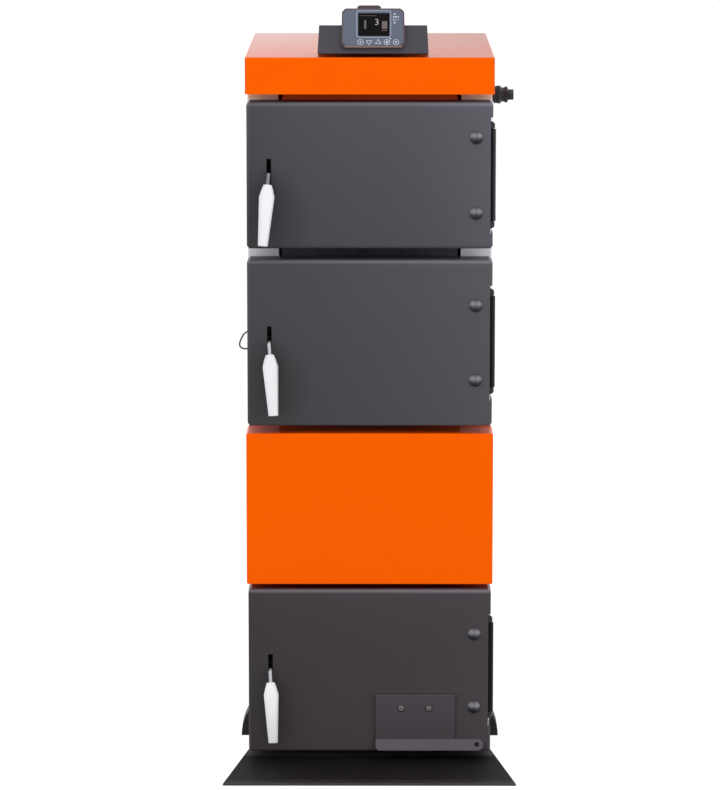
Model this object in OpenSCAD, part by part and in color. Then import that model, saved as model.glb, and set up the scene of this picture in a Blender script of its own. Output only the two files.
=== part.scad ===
// Upright solid fuel boiler with three front doors, in millimetres.
// +Z is up, the front faces -Y, and the origin is on the floor under the middle of the casing.

/* [Casing] */
// Width across the two side panels
casing_w = 498; // [470:2:560]
// Depth from the front flanges to the back of the casing
casing_d = 586; // [520:2:760]
// Height of the side panels' lower edges above the floor
casing_z = 25; // [15:1:34]
// Thickness of the casing sheets
sheet = 1.5; // [1:0.1:2.5]
// Inner radius of the casing sheets' bends
sheet_bend = 1.5; // [1:0.1:4]
// Gap between the side panels' front flanges and the boiler body
flange_gap = 6; // [3:0.5:12]
// Width of the side panels' rear flanges
rear_flange = 25; // [15:1:40]

/* [Top cover] */
// Overhang of the top cover beyond each side panel
cover_over = 2; // [1:0.5:10]
// Height of the top cover's skirt
cover_h = 74; // [50:1:110]
// Overhang of the top cover behind the casing
cover_back = 2; // [1:1:20]

/* [Doors] */
// Distance from the casing's front flanges to the doors' front faces
door_reach = 100; // [90:1:130]
// Distance of the doors' side edges inside the side panels
door_inset = 0.5; // [0.5:0.5:3]
// Depth of the folded edges of the door covers
door_fold = 62; // [55:1:70]
// Thickness of the door covers' sheet
door_sheet = 2; // [1.5:0.1:3]
// Inner radius of the door covers' bends
door_bend = 3; // [1:0.1:5]
// Size of the cut at the corners where two folds meet
corner_cut = 6; // [4:0.5:10]
// Height of the upper door
upper_door_h = 296; // [270:1:360]
// Height of the loading door
loading_door_h = 340; // [290:1:420]
// Height of the ash door
ash_door_h = 341; // [300:1:400]
// Gap between the floor and the ash door
floor_gap = 17; // [12:1:30]
// Gap between the ash door and the front panel
ash_gap = 10; // [6:1:20]
// Gap between the front panel and the loading door
panel_gap = 16; // [6:1:24]
// Gap between the loading door and the upper door
door_gap = 23; // [10:1:40]
// Gap between the upper door and the top cover
cover_gap = 16; // [8:1:30]

/* [Front panel] */
// Height of the fixed panel between the loading door and the ash door
front_panel_h = 313; // [260:1:400]
// Distance that the fixed panel stands out beyond each side panel
panel_over = 2.5; // [1:0.5:10]

/* [Hinges] */
// Distance of the hinge pins inside the doors' right edges
hinge_edge = 3; // [1:0.5:6]
// Distance of the hinge pins behind the doors' front faces
hinge_back = 53; // [48:1:60]
// Radius of the hinge barrels
barrel_r = 10; // [8:0.5:12]
// Radius of the hinge pins
hinge_pin_r = 6; // [4:0.5:7]
// Length of the hinge barrels
barrel_h = 187; // [120:1:200]
// Distance of the barrels' middles below the middles of the doors
hinge_drop = 4; // [0:0.5:8]
// Height of the fixed knuckles above and below each barrel
knuckle_h = 13; // [10:1:24]
// Distance of the dome nuts from the doors' right edges
nut_edge = 34; // [26:1:44]
// Distance between the two dome nuts of a door
nut_pitch = 153; // [90:1:165]
// Radius of the dome nuts
nut_r = 13; // [9:0.5:14]

/* [Handles] */
// Distance of the handles from the doors' left edges
handle_edge = 45; // [35:1:52]
// Distance of the handles' pivots behind the doors' front faces
pivot_back = 24; // [22:1:28]
// Radius of the handle rods
rod_r = 3.5; // [3:0.5:4]
// Distance from a door's front face to the middle of the hanging rod
rod_reach = 20; // [19:1:30]
// Length of the rod between its bend and the grip
rod_drop = 20.5; // [16:0.5:34]
// Length of the grips
grip_l = 124; // [90:2:140]
// Greatest width of the grips
grip_w = 30; // [24:1:34]
// Greatest thickness of the grips
grip_t = 21; // [17:1:22]
// Width of the bevel along the grips' edges
grip_bevel = 3.5; // [2:0.5:5]
// Width of the slots that the handle rods come out of
slot_w = 9.5; // [9:0.5:12]
// Height of the slots
slot_h = 68; // [68:1:90]

/* [Boiler body] */
// Width of the water-jacketed body
vessel_w = 360; // [360:2:368]
// Thickness of the water jacket
jacket = 45; // [35:1:50]
// Height of the body's underside above the floor
vessel_z = 40; // [36:1:50]
// Distance from the front flanges' face back to the body's front
vessel_set = 3; // [2:1:8]
// Space for insulation between the body and the back panel
back_gap = 12; // [8:1:40]
// Width of the posts beside the three door openings
post_w = 45; // [40:1:60]
// Distance from a door's upper and lower edges to its opening
opening_margin = 60; // [54:1:70]
// Depth of the steel collars round the openings
collar_d = 28; // [20:1:32]
// Thickness of the collars
collar_t = 8; // [6:0.5:10]

/* [Fire side] */
// Height of the grate's upper face above the ash opening
grate_over = 42; // [30:1:80]
// Height of the grate bars
grate_h = 30; // [20:1:36]
// Width of one grate bar
grate_bar = 17; // [12:1:24]
// Number of grate bars
grate_count = 9; // [5:1:9]
// Thickness of the water-filled shelves over the fire
shelf_h = 32; // [24:1:34]
// Height of the lower shelf above the loading opening
crown_over = 12; // [4:1:16]
// Space that the smoke has to turn round the end of each shelf
smoke_gap = 110; // [80:5:160]

/* [Door plates] */
// Clearance between a door's rope seal and its collar
seal_gap = 5; // [5:0.5:8]
// Width and depth of the rope seal
seal = 12; // [10:1:14]
// Height of the rope standing out of its groove
seal_proud = 5; // [3:0.5:6]
// Thickness of the pad that reaches into the opening
pad_t = 16; // [12:1:24]
// Clearance round the pad inside the opening
pad_gap = 12; // [8:1:20]

/* [Air flap] */
// Width of the air flap
flap_w = 162.5; // [120:0.5:180]
// Distance from the centre line to the flap's left edge
flap_x = 12.5; // [4:0.5:20]
// Height of the flap between its hinge and its lip
flap_h = 94.5; // [80:0.5:110]
// Height of the flap's lip above the ash door's lower edge
flap_z = 26.5; // [24:0.5:34]
// Thickness of the flap's sheet
flap_t = 3; // [2:0.5:4]
// Width of the bent lip
lip_w = 27; // [16:1:30]
// Angle of the lip from the door's face
lip_angle = 38; // [20:1:60]
// Reach of the chain ear beyond the flap
ear_reach = 59; // [40:1:64]
// Diameter of the chain hole in the ear
chain_hole = 11; // [6:0.5:12]
// Height of the air inlet behind the flap
inlet_h = 34; // [20:1:36]

/* [Base and apron] */
// Height of the base frame
base_h = 40; // [36:1:50]
// Width of the base frame's rails
rail_w = 50; // [30:1:80]
// Thickness of the ash apron
apron_t = 4; // [2:0.5:6]
// Reach of the apron in front of the casing
apron_reach = 315; // [250:5:380]
// Distance that the apron's front edge stands out beyond each side panel
apron_flare = 45.5; // [10:0.5:80]
// Distance of the apron's back corners inside each side panel
apron_in = 3; // [0:0.5:20]
// Reach of the foot brackets beyond the casing
foot_reach = 21; // [12:1:40]
// Height of the foot brackets
foot_h = 56; // [45:1:90]
// Length of the foot brackets from front to back
foot_l = 60; // [30:1:120]
// Distance of the foot brackets behind the casing's front
foot_y = 104; // [70:2:160]

/* [Controller] */
// Width of the controller's bracket
bracket_w = 223; // [180:1:280]
// Length of the bracket's sloping face
bracket_l = 62.5; // [54:0.5:80]
// Angle of the bracket's face from level
bracket_slope = 60; // [45:1:70]
// Width of the controller
panel_w = 128; // [110:1:150]
// Height of the controller along its face
panel_l = 84.5; // [78:0.5:110]
// Thickness of the controller
panel_t = 11; // [8:0.5:30]
// Size of the controller's cut corners
panel_corner = 9; // [4:0.5:14]
// Distance of the controller to the right of the centre line
panel_x = 6.5; // [-20:0.5:20]

/* [Connections] */
// Outer diameter of the flue outlet
flue_d = 159; // [130:1:170]
// Wall of the flue outlet
flue_wall = 4; // [3:0.5:6]
// Length of the flue outlet behind the casing
flue_l = 70; // [50:1:100]
// Outer diameter of the flow and return stubs
pipe_d = 47.8; // [33.2:0.1:60]
// Wall of the flow and return stubs
pipe_wall = 4.5; // [3:0.5:8]
// Length of the stubs behind the casing
pipe_l = 45; // [25:1:80]
// Outer diameter of the drain stub
drain_d = 26.4; // [20:0.2:34]
// Wall of the drain stub
drain_wall = 4; // [2.5:0.5:5]
// Outer diameter of the cable gland's body
gland_d = 38; // [30:1:44]

/* [Hidden] */
$fn = 48;

// Clearances
eps = 0.01;          // overlap of the shapes inside one piece
seat = 0.3;          // clearance of a piece from what it sits on or turns round
fit_gap = 0.5;       // clearance where sheets sleeve over each other
move_gap = 5;        // clearance of a moving piece from its neighbours
side_play = 1;       // play of hubs between their cheeks
knuckle_gap = 2;     // gap between a barrel and each of its knuckles

// Widths, and distances from the centre line
cover_w = casing_w + 2 * cover_over;
front_panel_w = casing_w + 2 * panel_over;
door_w = casing_w - 2 * door_inset;
opening_w = vessel_w - 2 * post_w;
hinge_x = door_w / 2 - hinge_edge;
nut_x = door_w / 2 - nut_edge;
handle_x = door_w / 2 - handle_edge;

// Levels of the front, counted up from the floor
ash_z = floor_gap;
panel_z = ash_z + ash_door_h + ash_gap;
loading_z = panel_z + front_panel_h + panel_gap;
upper_z = loading_z + loading_door_h + door_gap;
cover_z = upper_z + upper_door_h + cover_gap;
cover_top = cover_z + cover_h;
casing_top = cover_top - sheet - sheet_bend - seat;

// Planes from front to back
casing_front = -casing_d / 2;
casing_back = casing_d / 2;
base_front = casing_front + sheet + seat;
base_back = casing_back - 2 * sheet - seat;
door_front = casing_front - door_reach;
vessel_front = casing_front + vessel_set;
vessel_back = casing_back - sheet - back_gap;
chamber_front = vessel_front + jacket;
chamber_back = vessel_back - jacket;
chamber_w = vessel_w - 2 * jacket;
collar_edge = vessel_front - collar_d;
plate_back = collar_edge - seal_gap - seal_proud;
hinge_y = door_front + hinge_back;
pivot_y = door_front + pivot_back;
bracket_y = casing_front - seat;     // back of the arms that pass in front of the flanges

// Openings, each as its lower and upper level
ash_opening = [ash_z + opening_margin, ash_z + ash_door_h - opening_margin];
loading_opening = [loading_z + opening_margin, loading_z + loading_door_h - opening_margin];
upper_opening = [upper_z + opening_margin, upper_z + upper_door_h - opening_margin];
openings = [ash_opening, loading_opening, upper_opening];
chamber_bottom = ash_opening[0] - 6;
chamber_top = upper_opening[1] + 8;
vessel_top = chamber_top + jacket;
grate_top = ash_opening[1] + grate_over;
crown_z = loading_opening[1] + crown_over;
upper_shelf_z = upper_opening[0] - shelf_h;

// Middles of the doors, where their hinges and handles are centred
upper_mid = upper_z + upper_door_h / 2;
loading_mid = loading_z + loading_door_h / 2;
ash_mid = ash_z + ash_door_h / 2;
door_mids = [upper_mid, loading_mid, ash_mid];

// Each handle as it hangs: its lean from upright, its turn about the rod and its lift about the pivot
upper_hang = [-4.4, -12, 5];
loading_hang = [3.5, 12, 0];
ash_hang = [2.4, 0, 0];
grip_tilt = 8;           // how far the hanging rods point away from the doors

// Hinges: inside the door's fold, and the fixed arms on the boiler body
fold_inside = door_w / 2 - door_sheet - door_bend;
leaf_t = 5;
leaf_over = 16;          // reach of a leaf beyond its nuts
arm_in = 6;              // thickness of the door's arm, from its fold inwards
stud_r = 4.5;
arm_t = 12;
arm_foot_x = opening_w / 2 + collar_t + 7;
knuckle_r = barrel_r - 2;
knuckle_edge = 4;        // width of the bevel at the knuckles' ends
notch_h = barrel_h + 2 * (knuckle_gap + knuckle_h + hinge_drop + move_gap);

// Handle levers
hub_r = 10;
hub_w = 20;
pivot_r = 5;
ear_t = 4;
tongue_l = 44;
tongue_h = 12;
tongue_w = 8;
rod_in = 40;             // length of the rod inside its grip
keeper_over = 12;        // height of a keeper above its lever's pivot
keeper_t = 5;
keeper_w = 24;
keeper_short = 6;        // distance of a keeper's tip in front of the tongue's end
keeper_foot_h = 20;

// Grips, from the rod's end down
grip_shoulder = 25;
grip_top_w = 16;
grip_end_w = 19;
grip_top_t = 13;
grip_end_t = 15;

// Connections at the back and on the right side
flue_z = (upper_shelf_z + shelf_h + chamber_top) / 2;
flow_drop = 60;          // of the flow stub below the body's top
return_rise = 80;        // of the return and drain stubs above the jacket's floor
pipe_in = 60;            // of the stubs inside the body's sides
flow_z = vessel_top - flow_drop;
return_z = chamber_bottom + return_rise;
pipe_x = vessel_w / 2 - pipe_in;
pipe_hole_gap = 3;
gland_neck_r = 10;
gland_nut_r = 15;
gland_nut_t = cover_over + 3;
gland_end_r = 12;
gland_end_l = 10;
gland_body_l = 31;        // from the nut to the hexagonal end
gland_back = 95;         // distance behind the casing's front
gland_drop = 2;          // gap between the cover's skirt and the gland's nut
gland_y = casing_front + gland_back;
gland_z = cover_z - gland_nut_r - gland_drop;

// Controller: its tent-shaped bracket, and what lies on the sloping face
bracket_set = 3;
bracket_lift = 8;        // height of the bracket's free front edge above the cover
bracket_leg = 90;        // distance from the front edge back to the end of the rear leg
bracket_foot = 20;
bracket_t = 2;
bracket_taper = 3;       // how much each side of the sloping face leans in towards its top
panel_up = 10.4;         // from the bracket's front edge to the controller's lower edge
panel_taper = 1.5;       // how much each side leans in towards the top
rim_w = 2;
fascia_t = 1.2;
display_w = 62.5;
display_l = 50.5;
display_x = 1.5;
display_up = 23;         // from the controller's lower edge to the display
box_w = 48;
box_over = 12;           // how far the connector box stands up behind the controller
box_t = 16;
box_x = -8;
box_corner = 4;

// Air flap, hung on two pins in front of the inlet
flap_barrel_r = 3;
flap_pin_r = 1.5;
flap_pin_l = 12;
flap_lug_t = 3;
flap_lug_r = 2.5;
flap_lug_gap = 0.5;
flap_rest = 1;           // the closed flap's clearance from the door's face
flap_axis = [flap_x + flap_w / 2, door_front - flap_rest - flap_barrel_r,
    ash_z + flap_z + flap_h - flap_barrel_r];
flap_front = flap_axis[1] - flap_barrel_r + 0.2;
flap_screws = [52.5, 109]; // from the flap's left edge
flap_screw_r = 6.5;
flap_screw_h = 3;
flap_screw_down = 25.5;
lip_cut = 6;
inlet_edge = 10;
inlet_left = flap_x + inlet_edge;
inlet_right = opening_w / 2 - pad_gap - inlet_edge;
inlet_top = flap_axis[2] - flap_barrel_r - 1;

// Sensor lead on the left side
lead_r = 1.75;
lead_y = -93;
lead_zs = [811, 848];
grommet_r = 4.5;
grommet_rim = 1.5;
grommet_t = 1.5;

// Hand-chosen route of the short lead that loops from one grommet to the other
lead_route = [[-250.5, -93, 848], [-254, -93, 848], [-258, -93, 847], [-262, -93, 844.5],
    [-265.5, -93, 841], [-268, -93, 837], [-270, -93, 833], [-272, -93, 828.5], [-273.5, -93, 824],
    [-274, -93, 819.5], [-273, -93, 815.5], [-270, -93, 812.5], [-266, -93, 811], [-262, -93, 810.5],
    [-258, -93, 810.7], [-254, -93, 811], [-250.5, -93, 811]];

charcoal = "#4a494d";
black_steel = "#262528";
orange = "#fd6202";
pale_grey = "#c9c8cc";
steel = "#4d4a4a";
zinc = "#b9bbc0";
white_plastic = "#eeeef0";
black_plastic = "#1c1c1e";

// ---------- Shapes used more than once ----------

// Box given by its lowest and highest corners
module box(low, high) {
    translate(low) cube(high - low);
}

// Outline of a sheet folded back at both ends: w wide along x, d deep along y, outer fold radius r
module fold_profile(w, d, r) {
    translate([-w / 2, r]) square([w, d - r]);
    translate([-w / 2 + r, 0]) square([w - 2 * r, d]);
    for (s = [-1, 1]) translate([s * (w / 2 - r), r]) circle(r);
}

// Rectangle with its four corners cut off
module cut_rectangle(w, h, c) {
    polygon([[-w / 2 + c, -h / 2], [w / 2 - c, -h / 2], [w / 2, -h / 2 + c], [w / 2, h / 2 - c],
        [w / 2 - c, h / 2], [-w / 2 + c, h / 2], [-w / 2, h / 2 - c], [-w / 2, -h / 2 + c]]);
}

// Block with rounded front edges and cut corners: front at y = 0, centred on x and z
module fold_block(w, h, d, r, c) {
    intersection() {
        translate([0, 0, -h / 2]) linear_extrude(h) fold_profile(w, d, r);
        rotate([0, -90, 0]) translate([0, 0, -w / 2]) linear_extrude(w) fold_profile(h, d, r);
        translate([0, d, 0]) rotate([90, 0, 0]) linear_extrude(d) cut_rectangle(w, h, c);
    }
}

// Tray of sheet t, folded back d deep on all four sides with inner radius bend and corners cut by c
module folded_tray(w, h, d, t, bend, c) {
    difference() {
        fold_block(w, h, d, bend + t, c);
        translate([0, t, 0]) fold_block(w - 2 * t, h - 2 * t, d, bend, c - (2 - sqrt(2)) * t);
    }
}

// Upright rectangular ring standing on y, d deep, wall t, inside iw by ih
module ring(iw, ih, d, t) {
    difference() {
        translate([-iw / 2 - t, 0, -ih / 2 - t]) cube([iw + 2 * t, d, ih + 2 * t]);
        translate([-iw / 2, -eps, -ih / 2]) cube([iw, d + 2 * eps, ih]);
    }
}

// Rod along -Y from the origin
module rod_forward(r, l) {
    rotate([90, 0, 0]) cylinder(h = l, r = r);
}

// Rod along X, centred on the origin
module rod_across(r, l) {
    rotate([0, 90, 0]) cylinder(h = l, r = r, center = true);
}

// ---------- Base, casing and covers ----------

module base_frame() {
    half_w = casing_w / 2 - sheet - seat;
    depth = base_back - base_front;
    bay = depth / 2 - 1.5 * rail_w;
    color(black_steel) translate([0, (base_front + base_back) / 2, 0]) linear_extrude(base_h) difference() {
        cut_rectangle(2 * half_w, depth, sheet_bend);
        for (s = [-1, 1]) translate([0, s * (rail_w / 2 + bay / 2)])
            square([2 * (half_w - rail_w), bay], center = true);
    }
}

module floor_apron() {
    color(black_steel) linear_extrude(apron_t)
        polygon([[-casing_w / 2 + apron_in, base_front - seat], [casing_w / 2 - apron_in, base_front - seat],
            [casing_w / 2 + apron_flare, casing_front - apron_reach],
            [-casing_w / 2 - apron_flare, casing_front - apron_reach]]);
}

// Bracket low on each side, its outer edge bent out in an arc that is upright at the floor
module foot_brackets() {
    edge_t = 4;
    out = foot_reach - edge_t;
    arc_r = (foot_h * foot_h + out * out) / (2 * out);
    color(black_steel) for (s = [0, 1]) mirror([s, 0, 0])
        translate([casing_w / 2 + seat, casing_front + foot_y + foot_l, 0]) rotate([90, 0, 0])
            linear_extrude(foot_l) intersection() {
                square([foot_reach, foot_h]);
                translate([foot_reach - arc_r, 0]) circle(arc_r, $fn = 96);
            }
}

// Section of a side panel with its outer face on y = 0, its front flange at +x and its rear one at -x
module side_section() {
    flange = casing_w / 2 - vessel_w / 2 - flange_gap;
    difference() {
        fold_profile(casing_d, flange, sheet_bend + sheet);
        translate([0, sheet]) fold_profile(casing_d - 2 * sheet, flange, sheet_bend);
        translate([-casing_d / 2 - sheet, rear_flange]) square([casing_d / 2, flange]);
    }
}

module left_shell() {
    translate([-casing_w / 2, 0, casing_z]) linear_extrude(casing_top - casing_z)
        rotate(-90) side_section();
}

module side_panel_left() {
    color(pale_grey) difference() {
        left_shell();
        for (z = lead_zs) translate([-casing_w / 2, lead_y, z]) rod_across(grommet_r + seat, 4 * sheet);
    }
}

module side_panel_right() {
    color(pale_grey) difference() {
        mirror([1, 0, 0]) left_shell();
        gland_place() cylinder(h = 4 * sheet, r = gland_neck_r + seat, center = true);
    }
}

module back_panel() {
    half_w = casing_w / 2 - sheet - sheet_bend - fit_gap;
    color(pale_grey) difference() {
        box([-half_w, casing_back - 2 * sheet, casing_z], [half_w, casing_back - sheet, casing_top]);
        translate([0, casing_back, flue_z]) panel_hole(flue_d);
        for (z = [flow_z, return_z]) translate([pipe_x, casing_back, z]) panel_hole(pipe_d);
        translate([-pipe_x, casing_back, return_z]) panel_hole(drain_d);
    }
}

// Hole in the back panel for a pipe of diameter d
module panel_hole(d) {
    rotate([90, 0, 0]) cylinder(h = 8 * sheet, r = d / 2 + pipe_hole_gap, center = true);
}

module top_cover() {
    depth = casing_back + cover_back - door_front;
    color(orange) translate([0, door_front + depth / 2, cover_top]) rotate([-90, 0, 0])
        folded_tray(cover_w, depth, cover_h, sheet, sheet_bend, sheet_bend + sheet);
}

module front_panel() {
    color(orange) translate([0, door_front, panel_z + front_panel_h / 2])
        folded_tray(front_panel_w, front_panel_h, door_reach - seat, sheet, sheet_bend, sheet_bend + sheet);
}

// ---------- Water-jacketed body ----------

module jacket_side(s) {
    color(steel) box([s > 0 ? chamber_w / 2 : -vessel_w / 2, chamber_front, vessel_z],
        [s > 0 ? vessel_w / 2 : -chamber_w / 2, chamber_back, vessel_top]);
}

module jacket_back() {
    color(steel) difference() {
        box([-vessel_w / 2, chamber_back, vessel_z], [vessel_w / 2, vessel_back, vessel_top]);
        translate([0, vessel_back + eps, flue_z]) rod_forward(flue_d / 2 - flue_wall, jacket + 2 * eps);
    }
}

module jacket_top() {
    color(steel) box([-chamber_w / 2, chamber_front, chamber_top], [chamber_w / 2, chamber_back, vessel_top]);
}

module jacket_bottom() {
    color(steel) box([-chamber_w / 2, chamber_front, vessel_z], [chamber_w / 2, chamber_back, chamber_bottom]);
}

module jacket_posts() {
    color(steel) for (s = [-1, 1])
        box([s > 0 ? opening_w / 2 : -vessel_w / 2, vessel_front, vessel_z],
            [s > 0 ? vessel_w / 2 : -opening_w / 2, chamber_front, vessel_top]);
}

module jacket_lintels() {
    levels = [vessel_z, each ash_opening, each loading_opening, each upper_opening, vessel_top];
    color(steel) for (i = [0 : 2 : len(levels) - 1])
        box([-opening_w / 2, vessel_front, levels[i]], [opening_w / 2, chamber_front, levels[i + 1]]);
}

// The smoke goes up behind the lower shelf, forward between the two and up in front of the upper one
module smoke_shelves() {
    color(steel) {
        box([-chamber_w / 2, chamber_front, crown_z],
            [chamber_w / 2, chamber_back - smoke_gap, crown_z + shelf_h]);
        box([-chamber_w / 2, chamber_front + smoke_gap, upper_shelf_z],
            [chamber_w / 2, chamber_back, upper_shelf_z + shelf_h]);
    }
}

// Cast grate: bars that narrow downwards, on a cross bar at each end
module grate() {
    end_bar = 24;
    pitch = (chamber_w - grate_bar) / (grate_count - 1);
    color(black_steel) {
        for (i = [0 : grate_count - 1])
            translate([-chamber_w / 2 + i * pitch, chamber_back, grate_top - grate_h]) rotate([90, 0, 0])
                linear_extrude(chamber_back - chamber_front)
                    polygon([[0, grate_h], [grate_bar, grate_h], [grate_bar * 0.7, 0], [grate_bar * 0.3, 0]]);
        for (y = [chamber_front, chamber_back - end_bar])
            box([-chamber_w / 2, y, grate_top - grate_h], [chamber_w / 2, y + end_bar, grate_top - grate_h / 3]);
    }
}

module opening_collars() {
    color(black_steel) for (o = openings)
        translate([0, collar_edge, (o[0] + o[1]) / 2])
            ring(opening_w, o[1] - o[0], collar_d, collar_t);
}

// ---------- Fixed half of the hinges and latches ----------

// Arms from the body's posts, past the flanges, to a knuckle above and below each door's barrel
module hinge_brackets() {
    start = barrel_h / 2 + knuckle_gap;
    color(black_steel) for (mid = door_mids) translate([0, 0, mid - hinge_drop]) {
        for (s = [0, 1]) mirror([0, 0, s]) translate([0, 0, start]) {
            linear_extrude(knuckle_h) {
                translate([arm_foot_x, bracket_y - arm_t]) square([hinge_x - arm_foot_x, arm_t]);
                translate([arm_foot_x, bracket_y - eps])
                    square([vessel_w / 2 - arm_foot_x, vessel_front - bracket_y + eps]);
                translate([hinge_x - knuckle_r, hinge_y]) square([knuckle_r, bracket_y - hinge_y - eps]);
            }
            translate([hinge_x, hinge_y, 0]) {
                cylinder(h = knuckle_h - knuckle_edge, r = knuckle_r);
                translate([0, 0, knuckle_h - knuckle_edge])
                    cylinder(h = knuckle_edge, r1 = knuckle_r, r2 = knuckle_r - knuckle_edge);
            }
        }
        translate([hinge_x, hinge_y, -start - eps]) cylinder(h = 2 * (start + eps), r = hinge_pin_r);
    }
}

// Catch plates on the body's left post, one above each lever's tongue
module latch_keepers() {
    tip_y = pivot_y + tongue_l - keeper_short;
    left = -handle_x - keeper_w / 2;
    color(black_steel) for (mid = door_mids) translate([0, 0, mid + keeper_over]) {
        linear_extrude(keeper_t) polygon([[-arm_foot_x, bracket_y - arm_t], [-arm_foot_x, vessel_front],
            [-vessel_w / 2, vessel_front], [-vessel_w / 2, bracket_y], [left, bracket_y],
            [left, tip_y], [left + keeper_w, tip_y], [left + keeper_w + arm_t, bracket_y - arm_t]]);
        linear_extrude(keeper_foot_h) translate([-vessel_w / 2, vessel_front - keeper_t])
            square([vessel_w / 2 - arm_foot_x, keeper_t]);
    }
}

// ---------- Connections at the back ----------

module flue_outlet() {
    length = casing_back + flue_l - chamber_back;
    color(black_steel) translate([0, chamber_back, flue_z]) rotate([-90, 0, 0]) difference() {
        union() {
            cylinder(h = length, r = flue_d / 2 - flue_wall - seat);
            translate([0, 0, jacket]) cylinder(h = length - jacket, r = flue_d / 2);
        }
        translate([0, 0, -eps]) cylinder(h = length + 2 * eps, r = flue_d / 2 - 2 * flue_wall);
    }
}

// Pipe end welded to the body's back
module stub(outer, wall) {
    length = casing_back + pipe_l - vessel_back;
    rotate([-90, 0, 0]) difference() {
        cylinder(h = length, r = outer / 2);
        translate([0, 0, wall]) cylinder(h = length, r = outer / 2 - wall);
    }
}

module water_stubs() {
    color(black_steel) for (z = [flow_z, return_z])
        translate([pipe_x, vessel_back, z]) stub(pipe_d, pipe_wall);
}

module drain_stub() {
    color(black_steel) translate([-pipe_x, vessel_back, return_z]) stub(drain_d, drain_wall);
}

// ---------- Controller ----------

// Frame on the bracket's sloping face: x across, y up the slope, z out of the face
module on_slope() {
    translate([panel_x, door_front + bracket_set, cover_top + bracket_lift]) rotate([bracket_slope, 0, 0])
        children();
}

// Sheet bent like a tent: free front edge, sloping face that narrows upwards, rear leg and its foot
module controller_bracket() {
    top = [bracket_l * cos(bracket_slope), bracket_lift + bracket_l * sin(bracket_slope)];
    leg_slope = atan2(top[1], bracket_leg - top[0]);
    bend = (180 - bracket_slope - leg_slope) / 2;
    down = 180 + bracket_slope + bend;
    t = bracket_t;
    half_w = bracket_w / 2;
    depth = bracket_leg + bracket_foot;
    color(black_steel) translate([panel_x, door_front + bracket_set, cover_top]) intersection() {
        rotate([90, 0, 90]) translate([0, 0, -half_w]) linear_extrude(bracket_w)
            polygon([[0, bracket_lift], top, [bracket_leg - t / tan(leg_slope), t], [depth, t], [depth, 0],
                [bracket_leg - t / sin(leg_slope), 0], top + t / sin(bend) * [cos(down), sin(down)],
                [t * sin(bracket_slope), bracket_lift - t * cos(bracket_slope)]]);
        translate([0, depth + 1, 0]) rotate([90, 0, 0]) linear_extrude(depth + 2)
            polygon([[-half_w, -1], [half_w, -1], [half_w, bracket_lift],
                [half_w - bracket_taper, top[1] + 1], [-half_w + bracket_taper, top[1] + 1],
                [-half_w, bracket_lift]]);
    }
}

// Outline of the controller's face, drawn in by inset: cut corners, and sides that lean in upwards
module panel_outline(inset) {
    w = panel_w / 2 - inset;
    top_w = w - panel_taper;
    h = panel_l / 2 - inset;
    c = panel_corner - (2 - sqrt(2)) * inset;
    translate([0, panel_up + panel_l / 2])
        polygon([[-w + c, -h], [w - c, -h], [w, -h + c], [top_w, h - c],
            [top_w - c, h], [-top_w + c, h], [-top_w, h - c], [-w, -h + c]]);
}

// Moulded case: a back shell a little smaller than the front one, with a rim round the fascia
module controller_housing() {
    shell_t = (panel_t - seat) / 3;
    color("#7a5a5c") on_slope() difference() {
        union() {
            translate([0, 0, seat]) linear_extrude(shell_t + eps) panel_outline(rim_w);
            translate([0, 0, seat + shell_t]) linear_extrude(panel_t - seat - shell_t) panel_outline(0);
        }
        translate([0, 0, panel_t - fascia_t]) linear_extrude(fascia_t + eps) panel_outline(rim_w);
    }
}

// Connector box plugged into the back of the controller, above the bracket's edge
module controller_box() {
    low = bracket_l + seat;
    high = panel_up + panel_l + box_over;
    color("#3a2a2c") on_slope() translate([box_x, (low + high) / 2, -box_t])
        linear_extrude(box_t) cut_rectangle(box_w, high - low, box_corner);
}

module controller_fascia() {
    color("#64708a") on_slope() translate([0, 0, panel_t - fascia_t])
        linear_extrude(fascia_t) difference() {
            panel_outline(rim_w + seat);
            display_place() square([display_w + 2 * seat, display_l + 2 * seat], center = true);
        }
}

module display_place() {
    translate([display_x, panel_up + display_up + display_l / 2]) children();
}

module controller_display() {
    color("#141418") on_slope() translate([0, 0, panel_t - fascia_t])
        linear_extrude(fascia_t / 2) display_place() square([display_w, display_l], center = true);
}

// ---------- Gland and sensor lead on the sides ----------

module gland_place() {
    translate([casing_w / 2, gland_y, gland_z]) rotate([0, 90, 0]) children();
}

// Gland turned from nylon: neck through the panel, nut, grooved body, sharp ring and hexagonal end
module cable_gland() {
    r = gland_d / 2;
    at = gland_nut_t;
    color(black_plastic) gland_place() {
        translate([0, 0, -8]) cylinder(h = 8 + eps, r = gland_neck_r);
        rotate_extrude() polygon([[0, 0], [gland_nut_r, 0], [gland_nut_r, at], [r - 2, at], [r - 1, at + 1],
            [r - 1, at + 4], [r - 2, at + 5], [r - 1, at + 6], [r - 1, at + 9], [r, at + 12],
            [r - 1, at + 13.5], [r - 4.5, at + 17], [r - 4.5, at + 20.5], [r - 1.5, at + 27],
            [gland_end_r - 1, at + gland_body_l], [0, at + gland_body_l]]);
        translate([0, 0, at + gland_body_l - eps]) cylinder(h = gland_end_l, r = gland_end_r, $fn = 6);
    }
}

module lead_grommets() {
    color(black_plastic) for (z = lead_zs) translate([-casing_w / 2, lead_y, z]) {
        translate([-grommet_t / 2, 0, 0]) rod_across(grommet_r + grommet_rim, grommet_t);
        translate([sheet, 0, 0]) rod_across(grommet_r, 2 * sheet + eps);
    }
}

function tangent(p, i) = let (a = p[max(i - 1, 0)], b = p[min(i + 1, len(p) - 1)], d = b - a) d / norm(d);

function tube_ring(p, i, r, n) = let (t = tangent(p, i), u = [0, 1, 0], v = cross(t, u))
    [for (k = [0 : n - 1]) p[i] + r * (cos(360 * k / n) * u + sin(360 * k / n) * v)];

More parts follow.
